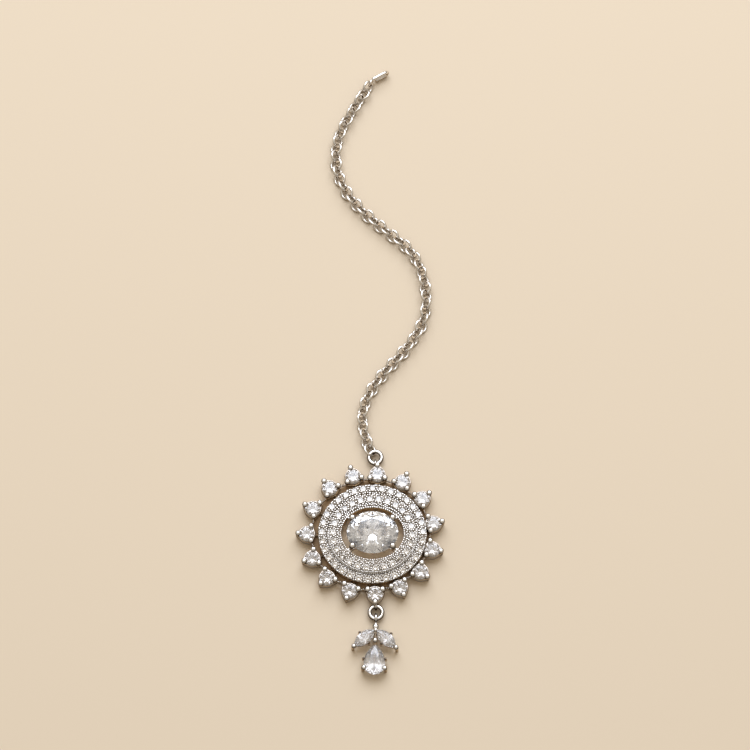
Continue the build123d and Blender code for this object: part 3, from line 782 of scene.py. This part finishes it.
centre = np.array([MIDDLE.x, MIDDLE.y])
bar_ball = [(BAR_BALL * sin(t), -BAR_BALL * cos(t)) for t in np.linspace(0.4, pi - 0.4, 7)]
bar_ball = [(0.0, -BAR_BALL), *bar_ball, (0.0, BAR_BALL)]
bars, struts = [], []
for setting, neighbour in zip(settings, settings[1:] + settings[:1]):
    middle = np.array(setting["middle"])
    inward = centre - middle
    inward /= np.linalg.norm(inward)
    a, b = plate_oval(STRUT_END)
    wall = centre - inward / hypot(inward[0] / a, inward[1] / b)
    struts.append(wire([(*(middle + inward * STRUT_START), STRUT_Z), (*wall, STRUT_Z)], STRUT))
    right, left = np.array(setting["right"]), np.array(neighbour["left"])
    between = (left + right) / 2
    inward = centre - between
    inward /= np.linalg.norm(inward)
    bend = between + inward * BAR_BEND
    stops = (right, (right + bend) / 2, bend, (left + bend) / 2, left)
    bars.append(wire([(*stop, z) for stop, z in zip(stops, BAR_HEIGHTS)], BAR))
    bars.append(revolved(bar_ball, 14, (*bend, BAR_BALL_Z)))
shadow_band_look = plated_metal(
    "painted_shadow_band", BAND_SHADOW_TONE, BAND_SHADOW_RECESS, BAND_SHADOW_SIDE, reach=1.5, bright=0.7, dull=0.9, relief=0.008
)
shadow_strut_look = plated_metal(
    "painted_shadow_struts", STRUT_SHADOW_TONE, STRUT_SHADOW_RECESS, STRUT_SHADOW_SIDE, reach=1.5, bright=0.6, dull=0.8, relief=0.008
)
for name, shells, look in (
    ("sun_link_bars", bars, cup_look), ("gallery_band", [gallery_band()], shadow_band_look),
    ("sun_struts", struts, shadow_strut_look),
):
    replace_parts(build_piece(name, shells, look), "pendant_frame")

# ---- centre basket -------------------------------------------
# Four posts round the centre stone, each with a ball tip, joined under it by an oval rail. Three
# arms from each post are soldered into the plate's opening, so that the stone stands clear of it.

STONE_HALF = (6.0, 5.0)
CENTRE_PRONG = (4.68, 3.36)
PRONG_OUT = 0.5
CENTRE_BALL = 0.675
CENTRE_BALL_Z = 5.62
CENTRE_POST = 0.4
CENTRE_POST_FOOT = 2.0
CENTRE_LEAN = 0.5
RAIL = (3.9, 3.25)
RAIL_Z = 1.5
RAIL_WIRE = 0.36
RAIL_AROUND = 96
KNEE = (2.75, 2.3)
LEG_MIDDLE_Z = 1.75
LEG_TOP_Z = CENTRE_POST_FOOT + 0.2
ARM = 0.32
ARM_REACH = 1.38
ARM_Z = 2.9
ARM_FAR_Z = 2.85
# a post's outer arms: how far each lands from the middle one, its start's share of that, its rise
ARM_SPREAD = 0.5
ARM_START = 0.4
ARM_RISE = 0.35


def arched(a, b, z_mid, steps=8):
    """Points from a to b that arch or dip to the height z_mid halfway."""
    share = np.linspace(0, 1, steps)
    z = a[2] + (b[2] - a[2]) * share + (z_mid - (a[2] + b[2]) / 2) * (4 * share * (1 - share))
    return np.stack([a[0] + (b[0] - a[0]) * share, a[1] + (b[1] - a[1]) * share, z], 1)


turn = once_round(RAIL_AROUND)
rail = level_ring(MIDDLE.x + RAIL[0] * np.cos(turn), MIDDLE.y + RAIL[1] * np.sin(turn), RAIL_Z)
basket, arms, centre_balls = [wire(rail, RAIL_WIRE, closed=True)], [], []
normal = np.array([CENTRE_PRONG[0] / STONE_HALF[0] ** 2, CENTRE_PRONG[1] / STONE_HALF[1] ** 2])
normal /= np.linalg.norm(normal)
for sx in (-1, 1):
    for sy in (-1, 1):
        out = (sx * normal[0], sy * normal[1])
        x = MIDDLE.x + sx * CENTRE_PRONG[0] + PRONG_OUT * out[0]
        y = MIDDLE.y + sy * CENTRE_PRONG[1] + PRONG_OUT * out[1]
        post, ball = ball_post(
            x, y, CENTRE_POST_FOOT, CENTRE_BALL_Z, CENTRE_POST, CENTRE_BALL, CENTRE_LEAN, (-out[0], -out[1])
        )
        centre_balls.append(ball)
        knee = (MIDDLE.x + sx * KNEE[0], MIDDLE.y + sy * KNEE[1], RAIL_Z)
        leg = arched(knee, (x, y, LEG_TOP_Z), LEG_MIDDLE_Z)
        basket += [post, wire(leg, [RAIL_WIRE] * 4 + [CENTRE_POST] * 4)]
        for spread, rise in ((-ARM_SPREAD, ARM_RISE), (0.0, 0.0), (ARM_SPREAD, ARM_RISE)):
            far = (
                MIDDLE.x + (x - MIDDLE.x) * ARM_REACH + spread * out[1],
                MIDDLE.y + (y - MIDDLE.y) * ARM_REACH - spread * out[0],
                ARM_FAR_Z + rise,
            )
            near = (x + ARM_START * spread * out[1], y - ARM_START * spread * out[0], ARM_Z + rise)
            arms.append(wire(arched(near, far, ARM_Z + rise), ARM))
arm_look = plated_metal(
    "rhodium_arms", RHODIUM, RECESS_SHADE, WALL_SHADE, reach=0.3, bright=0.25, dull=0.4, relief=0.001
)
for name, shells, look in (
    ("centre_basket", basket, post_look), ("centre_prongs", centre_balls, prong_look),
    ("centre_arms", arms, arm_look),
):
    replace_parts(build_piece(name, shells, look), "pendant_frame")

# ---- jump rings and their loops ------------------------------
# Two jump rings of round wire, cut from a coil and closed so that the ends just meet, and the two
# small loops on the pendant that they pass, each on a short wire from the top or bottom cup.

BOX_RING_WIRE = 0.4  # the wire that the ring's box allows for
RING_WIRE = 0.46
RING_SWEEP = 358.2
RING_STEPS = 90
RING_SIDES = 18
RING_LIFT = 0.02
LOOP = 0.75
LOOP_WIRE = 0.25
LOOP_STEPS = 36
RING_TO_LOOP = 1.485
LOOP_STEM = 0.3
LOOP_STEM_Z = 1.2
LOOP_STEM_START = 1.3
# painted shade: the dark colour that the flanks of the rings, loops and drop balls take
WIRE_SIDE_SHADE = (0.085, 0.065, 0.048, 1.0)


def ring_path(centre_at, radius, first, sweep, count, upright=None):
    """Points round a circle, flat, or standing on edge along a bearing."""
    at = radians(first) + np.linspace(0, radians(sweep), count)
    if upright is None:
        step = np.stack([np.cos(at), np.sin(at), np.zeros(count)], 1)
    else:
        way = (sin(radians(upright)), cos(radians(upright)))
        step = np.stack([np.cos(at) * way[0], np.cos(at) * way[1], np.sin(at)], 1)
    return np.array(centre_at) + radius * step


def cut_wire(path, radius, sides):
    """A round wire with flat sawn ends."""
    points, faces = wire(path, radius, sides)
    body = len(path) * sides
    kept = [face for face in faces if max(face) < body]
    return points[:body], kept + [tuple(range(sides)), tuple(range(body - 1, body - 1 - sides, -1))]


ring_look = plated_metal(
    "rhodium_wire", RHODIUM, RECESS_SHADE, WIRE_SIDE_SHADE, reach=0.6, bright=0.05, dull=0.26, flank=(0.6, 0.99)
)
ring_centres, loops = {}, []
for name, seam, way, setting in (
    ("top_jump_ring", 205.0, 1, settings[0]), ("lower_jump_ring", 20.0, -1, settings[7]),
):
    low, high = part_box(name)
    at = (low + high) / 2 / MM + Vector((0, 0, RING_LIFT))
    ring_centres[name] = at
    radius = (high.x - low.x) / MM / 2 - BOX_RING_WIRE
    ring = cut_wire(ring_path(at, radius, seam, RING_SWEEP, RING_STEPS), RING_WIRE, RING_SIDES)
    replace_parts(build_piece(name + "_wire", [ring], ring_look), name)
    loop_y = at.y - way * RING_TO_LOOP
    round_loop = ring_path((at.x, loop_y, at.z), LOOP, 0, 360 - 360 / LOOP_STEPS, LOOP_STEPS, 0)
    loops.append(wire(round_loop, LOOP_WIRE, 12, closed=True))
    x, y = setting["middle"]
    start = (x, y + way * LOOP_STEM_START, LOOP_STEM_Z)
    loops.append(wire([start, (at.x, loop_y - way * LOOP, LOOP_STEM_Z)], LOOP_STEM, 12))
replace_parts(build_piece("ring_loops", loops, ring_look), "pendant_frame")

# ---- drop ----------------------------------------------------
# A bail, a ball and a stem carry two marquise trays and a pear tray, cast as one in silver. Ball
# prongs hold the outer tips, the middle and the pear's round end, and small claws the sides.

DROP_TURN = radians(-2.0)
BAIL = 0.95
BAIL_Z = 1.27
BAIL_STEPS = 44
BAIL_THIN = 0.26
BAIL_THICKER = 0.12
DROP_BALL = 0.7
DROP_BALL_AT = (0, -1.95)
DROP_BALL_Z = 1.75
DROP_BALL_PRESSED = 0.72
DROP_BALL_ENDS = (-0.675, 0.5)
# short tapered collars above and below the ball, and the stem: stops of (x, y, height), and radii
COLLARS = [
    ([(0, -0.95, 1.3), (0, -1.3, 1.45)], [0.34, 0.46]), ([(0, -2.62, 1.75), (0, -2.95, 1.8)], [0.48, 0.4]),
]
STEM = [(0, -2.0, 1.5), (0, -4.0, 1.3), (0, -7.0, 1.5)]
STEM_WIRE = 0.35
# the branch from the stem to the right marquise's tray. The left one's is its mirror image
BRANCH = [(1.3, -3.5, 1.5), (0, -3.35, 1.5)]
BRANCH_WIRE = 0.34
MIDDLE_PRONG = (0, -5.5)
TRAY_TOP = 2.3
TRAY_FOOT = 1.5
MARQUISE_AT = (2.55, -4.95)
MARQUISE_TURN = 42.0
MARQUISE = (2.98, 1.42)  # the tray's half length and half width
MARQUISE_LEDGE = 0.34
MARQUISE_BAR = 2.5
MARQUISE_TIP = 3.42
MARQUISE_BALL = 0.52
MARQUISE_CLAWS = (1.8, 1.2)  # how far out the side claws stand, and their bars start
PEAR_AT = (0.0, -10.95)
PEAR_TURN = pi / 2
PEAR = (2.4, 4.5)  # the tray's round end's radius, and from its middle to the point
PEAR_LEDGE = 0.36
PEAR_PRONGS = 66  # degrees from the tray's round foot to each side
PEAR_BARS = (2.1, 2.9)  # how far out the prongs' bars start, and the prongs stand
PEAR_BALL = 0.55
PEAR_CLAW_AT = 1.15  # from the tray's middle towards the point
PEAR_CLAWS = (2.66, 2.0)  # how far out the side claws stand, and their bars start
PRONG_FOOT = 0.02
PRONG_TOP = 3.47
PRONG_LEAN = 0.28
SIDE_BAR = 0.32
SIDE_BAR_Z = 1.9
CLAW_BAR = 0.22


def drop_point(x, y):
    """A place in the drop's own frame, with the bail's middle at its origin, in the ornament's frame."""
    at = ring_centres["lower_jump_ring"]
    c, s = cos(DROP_TURN), sin(DROP_TURN)
    return at.x + (x * c - y * s), at.y - RING_TO_LOOP + (x * s + y * c)


def drop_wire(stops, radius, sides=14):
    """A wire through stops of (x, y, height) in the drop's frame."""
    return wire([(*drop_point(x, y), z) for x, y, z in stops], radius, sides)


def tray(outline, inset):
    """A thin wall that follows a stone's outline, open below. outline is anticlockwise points in the
    drop's frame."""
    rim = np.array(outline)
    ahead = np.roll(rim, -1, 0) - np.roll(rim, 1, 0)
    ahead /= np.linalg.norm(ahead, axis=1)[:, None]
    inward = np.stack([-ahead[:, 1], ahead[:, 0]], 1)
    section = [
        (0.14, TRAY_FOOT), (0.04, TRAY_FOOT + 0.08), (0.0, TRAY_FOOT + 0.2), (0.0, TRAY_TOP - 0.1),
        (0.05, TRAY_TOP), (inset, TRAY_TOP - 0.05), (inset + 0.1, TRAY_TOP - 0.3), (inset + 0.1, TRAY_FOOT),
    ]
    points = [(*drop_point(x, y), z) for step, z in section for x, y in rim + inward * step]
    return np.array(points), strips(len(section), len(rim), flip=True)


def turned(points, at, angle):
    c, s = cos(angle), sin(angle)
    return [(at[0] + x * c - y * s, at[1] + x * s + y * c) for x, y in points]


def turned_way(x, y, angle):
    """A direction in a tray's frame, in the ornament's frame."""
    return turned([(x, y)], (0, 0), angle + DROP_TURN)[0]


def marquise_outline(tip, side, steps=22):
    radius = (tip * tip + side * side) / (2 * side)
    half = np.arcsin(tip / radius)
    upper = [(radius * sin(t), side - radius + radius * cos(t)) for t in np.linspace(half, -half, steps)]
    return upper + [(x, -y) for x, y in upper[-2:0:-1]]


def pear_outline(r, tip, steps=20):
    radius = (tip * tip + r * r) / (2 * r)
    end = atan2(tip, radius - r)
    upper = [(radius * sin(t), r - radius + radius * cos(t)) for t in np.linspace(end, 0, steps)]
    back = [(r * cos(t), r * sin(t)) for t in np.linspace(pi / 2, 3 * pi / 2, 26)]
    return upper + back[1:-1] + [(x, -y) for x, y in upper[:0:-1]]


trays, drop_posts, drop_balls, drop_claws, drop_stems = [], [], [], [], []


def drop_prong(at, foot, tip, thick, ball, lean, toward, ball_group):
    """A post and its ball at a place in the drop's frame. The ball joins ball_group."""
    post, melted = ball_post(*drop_point(*at), foot, tip, thick, ball, lean, toward)
    drop_posts.append(post)
    ball_group.append(melted)


def side_claw(at, near, toward):
    """A small claw beside a stone, on a short bar from the tray at near."""
    drop_prong(at, 1.0, 3.15, thick=0.24, ball=0.3, lean=0.2, toward=toward, ball_group=drop_claws)
    trays.append(drop_wire([(*near, SIDE_BAR_Z), (*at, SIDE_BAR_Z)], CLAW_BAR, 10))


bail_thick = BAIL_THIN + BAIL_THICKER * (1 + np.cos(once_round(BAIL_STEPS))) / 2
bail = ring_path((*drop_point(0, 0), BAIL_Z), BAIL, 182, 360 - 360 / BAIL_STEPS, BAIL_STEPS, 180)
drop_balls.append(wire(bail, bail_thick, closed=True))
ball_outline = [(0.0, DROP_BALL_ENDS[0])]
for t in np.linspace(0.25, pi - 0.25, 16):
    ball_outline.append((DROP_BALL * sin(t), -DROP_BALL * cos(t) * (1 if t < pi / 2 else DROP_BALL_PRESSED)))
ball_outline.append((0.0, DROP_BALL_ENDS[1]))
drop_balls.append(revolved(ball_outline, 28, (*drop_point(*DROP_BALL_AT), DROP_BALL_Z)))
drop_posts.extend(drop_wire(stops, radii, 16) for stops, radii in COLLARS)
drop_stems.append(drop_wire(STEM, STEM_WIRE))
drop_prong(MIDDLE_PRONG, 1.8, 3.4, thick=0.32, ball=0.55, lean=0.0, toward=(0, 0), ball_group=drop_balls)

for way in (-1, 1):
    at = (way * MARQUISE_AT[0], MARQUISE_AT[1])
    angle = radians(-MARQUISE_TURN if way == 1 else MARQUISE_TURN - 180)
    trays.append(tray(turned(marquise_outline(*MARQUISE), at, angle), MARQUISE_LEDGE))
    near, tip = turned([(MARQUISE_BAR, 0.0), (MARQUISE_TIP, 0.0)], at, angle)
    toward = turned_way(-1.0, 0.0, angle)
    drop_prong(tip, PRONG_FOOT, PRONG_TOP, POST, MARQUISE_BALL, PRONG_LEAN, toward, drop_balls)
    trays.append(drop_wire([(*near, SIDE_BAR_Z), (*tip, SIDE_BAR_Z)], SIDE_BAR))
    for side in (-1, 1):
        foot, near = turned([(0.0, side * y) for y in MARQUISE_CLAWS], at, angle)
        side_claw(foot, near, turned_way(0.0, -side, angle))
    drop_stems.append(drop_wire([(way * x, y, z) for x, y, z in BRANCH], BRANCH_WIRE))

trays.append(tray(turned(pear_outline(*PEAR), PEAR_AT, PEAR_TURN), PEAR_LEDGE))
for side in (-1, 1):
    bearing = radians(180 - side * PEAR_PRONGS)
    out = (cos(bearing), sin(bearing))
    near, foot = turned([(r * out[0], r * out[1]) for r in PEAR_BARS], PEAR_AT, PEAR_TURN)
    toward = turned_way(-out[0], -out[1], PEAR_TURN)
    drop_prong(foot, PRONG_FOOT, PRONG_TOP, POST, PEAR_BALL, PRONG_LEAN, toward, drop_balls)
    trays.append(drop_wire([(*near, SIDE_BAR_Z), (*foot, SIDE_BAR_Z)], SIDE_BAR))
    foot, near = turned([(PEAR_CLAW_AT, side * y) for y in PEAR_CLAWS], PEAR_AT, PEAR_TURN)
    side_claw(foot, near, turned_way(0.0, -side, PEAR_TURN))

ball_look = plated_metal(
    "rhodium_drop_balls", PRONG_WHITE, RECESS_SHADE, WIRE_SIDE_SHADE, reach=0.3, bright=0.06, dull=0.25,
    relief=0.001, flank=(0.42, 0.95),
)
# painted shade: the small claws are coloured dark all over in the balls' shade colour
shaded_claw_look = plated_metal(
    "shaded_claws", BALL_SHADE, RECESS_SHADE, WIRE_SIDE_SHADE, reach=0.3, bright=0.2, dull=0.4, relief=0.001
)
# painted shade: the stem and its branches are coloured in the walls' shade colour, as the shade in the
# crevice between the marquises
stem_look = plated_metal(
    "shaded_drop_stem", WALL_SHADE, RECESS_SHADE, BALL_SHADE, reach=0.6, bright=0.3, dull=0.5
)
for name, shells, look in (
    ("drop_trays", trays, cup_look), ("drop_posts", drop_posts, post_look),
    ("drop_prongs", drop_balls, ball_look), ("drop_claws", drop_claws, shaded_claw_look),
    ("drop_stem", drop_stems, stem_look),
):
    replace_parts(build_piece(name, shells, look), "drop_frame")

# ---- chain ---------------------------------------------------
# A rolo chain of round links bent from round wire and soldered. It lies in a lazy S and twists a
# little on its way, so that first one set of links and then the other lies flat.

LINK_RADIUS = 1.42
LINK_WIRE = 0.31
LINK_PITCH = 1.95
LINK_AROUND = 40
CHAIN_ROUTE = [
    (-1.1, 110.9), (-5.0, 105.0), (-8.8, 97.4), (-8.8, 89.2), (-5.0, 82.0), (2.6, 75.0), (9.9, 69.4),
    (12.9, 60.8), (12.5, 52.2), (7.8, 45.0), (1.1, 37.8), (-2.3, 31.4), (-2.5, 25.4), (-0.6, 20.75),
]
CHAIN_HEIGHT = 1.4
# how far the links are rolled from flat, by share of the chain's length, and how loosely
ROLL = [(0.0, 38.0), (0.25, 34.0), (0.5, 45.0), (0.8, 54.0), (1.0, 44.0)]
ROLL_SCATTER = 4
CHAIN_SILVER = (0.95, 0.905, 0.85, 1.0)
# painted shade: the chain's recesses and the flanks of its wire are coloured darker
CHAIN_RECESS_SHADE = (0.25, 0.205, 0.155, 1.0)
CHAIN_SIDE_SHADE = (0.32, 0.26, 0.20, 1.0)


def chain_line():
    """Close points along the chain's smooth middle line, in millimetres."""
    curve = bpy.data.curves.new("chain_route", "CURVE")
    curve.dimensions = "3D"
    curve.resolution_u = 24
    spline = curve.splines.new("NURBS")
    spline.points.add(len(CHAIN_ROUTE) - 1)
    for point, (x, y) in zip(spline.points, CHAIN_ROUTE):
        point.co = ((MIDDLE.x + x) * MM, (MIDDLE.y + y) * MM, CHAIN_HEIGHT * MM, 1.0)
    spline.order_u = 3
    spline.use_endpoint_u = True
    route = bpy.data.objects.new("chain_route", curve)
    line = bpy.data.meshes.new_from_object(route)
    points = np.array([v.co for v in line.vertices]) / MM
    bpy.data.objects.remove(route)
    bpy.data.meshes.remove(line)
    return points


def chain_links():
    line = chain_line()
    run = np.concatenate([[0], np.cumsum(np.linalg.norm(np.diff(line, axis=0), axis=1))])
    count = round(run[-1] / LINK_PITCH) + 1
    loose = np.random.default_rng(8)
    turn = once_round(LINK_AROUND)

    def place(distance):
        return np.array([np.interp(distance, run, line[:, i]) for i in range(3)])

    shells = []
    for k in range(count):
        at = run[-1] * k / (count - 1)
        middle = place(at)
        ahead = place(at + 0.4) - place(at - 0.4)
        ahead /= np.linalg.norm(ahead)
        level = np.cross([0, 0, 1], ahead)
        roll = np.interp(at / run[-1], [r[0] for r in ROLL], [r[1] for r in ROLL])
        roll = radians(roll if k % 2 else roll - 90.0) + radians(loose.normal(0, ROLL_SCATTER))
        across = level * cos(roll) + np.array([0, 0, 1]) * sin(roll)
        middle[2] = LINK_RADIUS * abs(sin(roll)) + LINK_WIRE
        ring = middle + LINK_RADIUS * (np.outer(np.cos(turn), ahead) + np.outer(np.sin(turn), across))
        shells.append(wire(ring, LINK_WIRE, 12, closed=True))
    return shells


chain_look = plated_metal(
    "plated_chain_wire", CHAIN_SILVER, CHAIN_RECESS_SHADE, CHAIN_SIDE_SHADE, reach=0.6, bright=0.16, dull=0.36,
    flank=(0.15, 0.7),
)
chain = build_piece("chain_links", chain_links(), chain_look)
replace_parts(chain, "chain")

# ---- hair hook -----------------------------------------------
# Round silver bar turned back under itself so that it grips a lock of hair, tapered at one end into
# the small eye that the last link passes.

HOOK_BEARING = radians(60.0)
HOOK_START = (0.2, 112.75)
HOOK_LENGTH = 2.75
HOOK_LOWER_ARM = (2.7, 0.85)
HOOK_WIRE = 0.47
HOOK_BEND = 0.85
HOOK_MIDDLE_Z = 1.4
EYE_AT = (-0.4, 112.15, 1.45)
EYE = 0.8
EYE_WIRE = 0.3
EYE_BEARING = 31.0
NECK_WIRE = [0.28, 0.36, 0.5]
# painted shade: the hook's recesses and the flanks of its wire are coloured darker
HOOK_RECESS_SHADE = (0.42, 0.35, 0.27, 1.0)
HOOK_SIDE_SHADE = (0.56, 0.475, 0.375, 1.0)


def hair_hook():
    top_z, foot_z = HOOK_MIDDLE_Z + HOOK_BEND, HOOK_MIDDLE_Z - HOOK_BEND

    def along(distance, z):
        x = MIDDLE.x + HOOK_START[0] + sin(HOOK_BEARING) * distance
        return x, MIDDLE.y + HOOK_START[1] + cos(HOOK_BEARING) * distance, z

    path = [along(d, top_z) for d in np.linspace(0, HOOK_LENGTH, 8)]
    for t in np.linspace(0, pi, 14)[1:-1]:
        path.append(along(HOOK_LENGTH + sin(t), HOOK_MIDDLE_Z + HOOK_BEND * cos(t)))
    path += [along(d, foot_z) for d in np.linspace(*HOOK_LOWER_ARM, 6)]
    eye_at = (MIDDLE.x + EYE_AT[0], MIDDLE.y + EYE_AT[1], EYE_AT[2])
    eye = wire(ring_path(eye_at, EYE, 0, 350, 36, EYE_BEARING), EYE_WIRE, closed=True)
    top = ring_path(eye_at, EYE, 45, 0, 2, EYE_BEARING)[0]
    neck = [top, (top + np.array(along(0.1, top_z))) / 2, along(0.3, top_z)]
    return [wire(path, HOOK_WIRE, 20), eye, wire(neck, NECK_WIRE, 16)]


hook_look = plated_metal("rhodium_hook", RHODIUM, HOOK_RECESS_SHADE, HOOK_SIDE_SHADE, reach=0.6, bright=0.05, dull=0.3)
hook = build_piece("hair_hook_wire", hair_hook(), hook_look)
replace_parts(hook, "hair_hook")

# ---- floor ---------------------------------------------------
# A plain pale table under the ornament, wide enough to fill the view and matt enough to show no
# reflection.

FLOOR_HALF = 1.5
FLOOR_TONE = (0.732, 0.61, 0.458, 1.0)
corners = [(x * FLOOR_HALF, y * FLOOR_HALF, 0) for x, y in ((-1, -1), (1, -1), (1, 1), (-1, 1))]
floor_mesh = bpy.data.meshes.new("floor")
floor_mesh.from_pydata(corners, [], [(0, 1, 2, 3)])
floor = bpy.data.objects.new("floor", floor_mesh)
bpy.context.scene.collection.objects.link(floor)
table_look = bpy.data.materials.new("pale_table")
table_look.use_nodes = True
set_sockets(table_look.node_tree.nodes["Principled BSDF"], {
    "Base Color": FLOOR_TONE, "Roughness": 0.7, "Specular IOR Level": 0.2,
})
floor_mesh.materials.append(table_look)
floor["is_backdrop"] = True

# ---- light and room ------------------------------------------
# One large soft light stands behind the ornament, and a dim warm room lies all round, brighter
# overhead, with a darker patch where the onlooker stands.

SOFTBOX_AT = (0.03, 0.512, 0.71)
SOFTBOX_AIM = (0, -0.041, 0)
# how bright the room is by height, once its axis is tipped back towards the light
ROOM = [(0.0, 0.22), (0.3, 0.25), (0.45, 0.34), (0.6, 0.64), (1.0, 0.76)]
ROOM_TINT = (1.0, 0.915, 0.785)
ROOM_TIP = 12.0
ONLOOKER = (0.0, -0.2756, 0.9613)
ONLOOKER_SHADE = 0.62
ONLOOKER_EDGE = (20, 13)

lamp = bpy.data.lights.new("back_softbox", "AREA")
lamp.shape = "RECTANGLE"
lamp.size = 0.9
lamp.size_y = 0.8
lamp.energy = 8.5
lamp.color = (0.79, 0.865, 1.0)
softbox = bpy.data.objects.new("back_softbox", lamp)
softbox.location = SOFTBOX_AT
softbox.rotation_euler = (Vector(SOFTBOX_AIM) - Vector(SOFTBOX_AT)).to_track_quat("-Z", "Y").to_euler()
bpy.context.scene.collection.objects.link(softbox)

world = bpy.data.worlds.new("room")
world.use_nodes = True
room = world.node_tree
gaze = add_node(room, "TexCoord")
tip = add_node(room, "Mapping", {"Rotation": (radians(ROOM_TIP), 0.0, 0.0)})
split = add_node(room, "SeparateXYZ")
shade = add_node(room, "ValToRGB")
while len(shade.color_ramp.elements) < len(ROOM):
    shade.color_ramp.elements.new(0.5)
for stop, (height, value) in zip(shade.color_ramp.elements, ROOM):
    stop.position = height
    stop.color = (*(value * tint for tint in ROOM_TINT), 1.0)
near = add_node(room, "VectorMath", {1: ONLOOKER}, operation="DOT_PRODUCT")
patch_limits = {
    "From Min": cos(radians(ONLOOKER_EDGE[0])), "From Max": cos(radians(ONLOOKER_EDGE[1])),
    "To Min": 1.0, "To Max": ONLOOKER_SHADE,
}
patch = add_node(room, "MapRange", patch_limits, interpolation_type="SMOOTHSTEP")
dim = add_node(room, "Mix", {"Factor": 1.0}, data_type="RGBA", blend_type="MULTIPLY")
join(
    room, (gaze, "Generated", tip, "Vector"), (tip, "Vector", split, 0), (split, "Z", shade, "Fac"),
    (gaze, "Generated", near, 0), (near, "Value", patch, "Value"), (shade, "Color", dim, "A"),
    (patch, "Result", dim, "B"), (dim, "Result", room.nodes["Background"], "Color"),
)
set_sockets(room.nodes["Background"], {"Strength": 1.0})

# ---- camera --------------------------------------------------
# A long lens looks down on the ornament from in front, sixteen degrees off straight down. Light is
# followed through enough bounces to come back out of the stones.

scene = bpy.context.scene
scene.world = world
scene.view_settings.view_transform = "Standard"
scene.cycles.max_bounces = 16
scene.cycles.transmission_bounces = 16
scene.cycles.glossy_bounces = 8
scene.cycles.diffuse_bounces = 4
scene.cycles.blur_glossy = 0.3
scene.cycles.sample_clamp_indirect = 12.0
view = bpy.data.cameras.new("camera")
view.lens = 200.0
view.sensor_width = 36.0
view.clip_start = 0.05
view.clip_end = 10.0
camera = bpy.data.objects.new("camera", view)
camera.location = (0.00113, -0.27282, 0.94588)
camera.rotation_euler = (radians(16.0), 0.0, 0.0)
scene.collection.objects.link(camera)
scene.camera = camera

low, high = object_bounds()
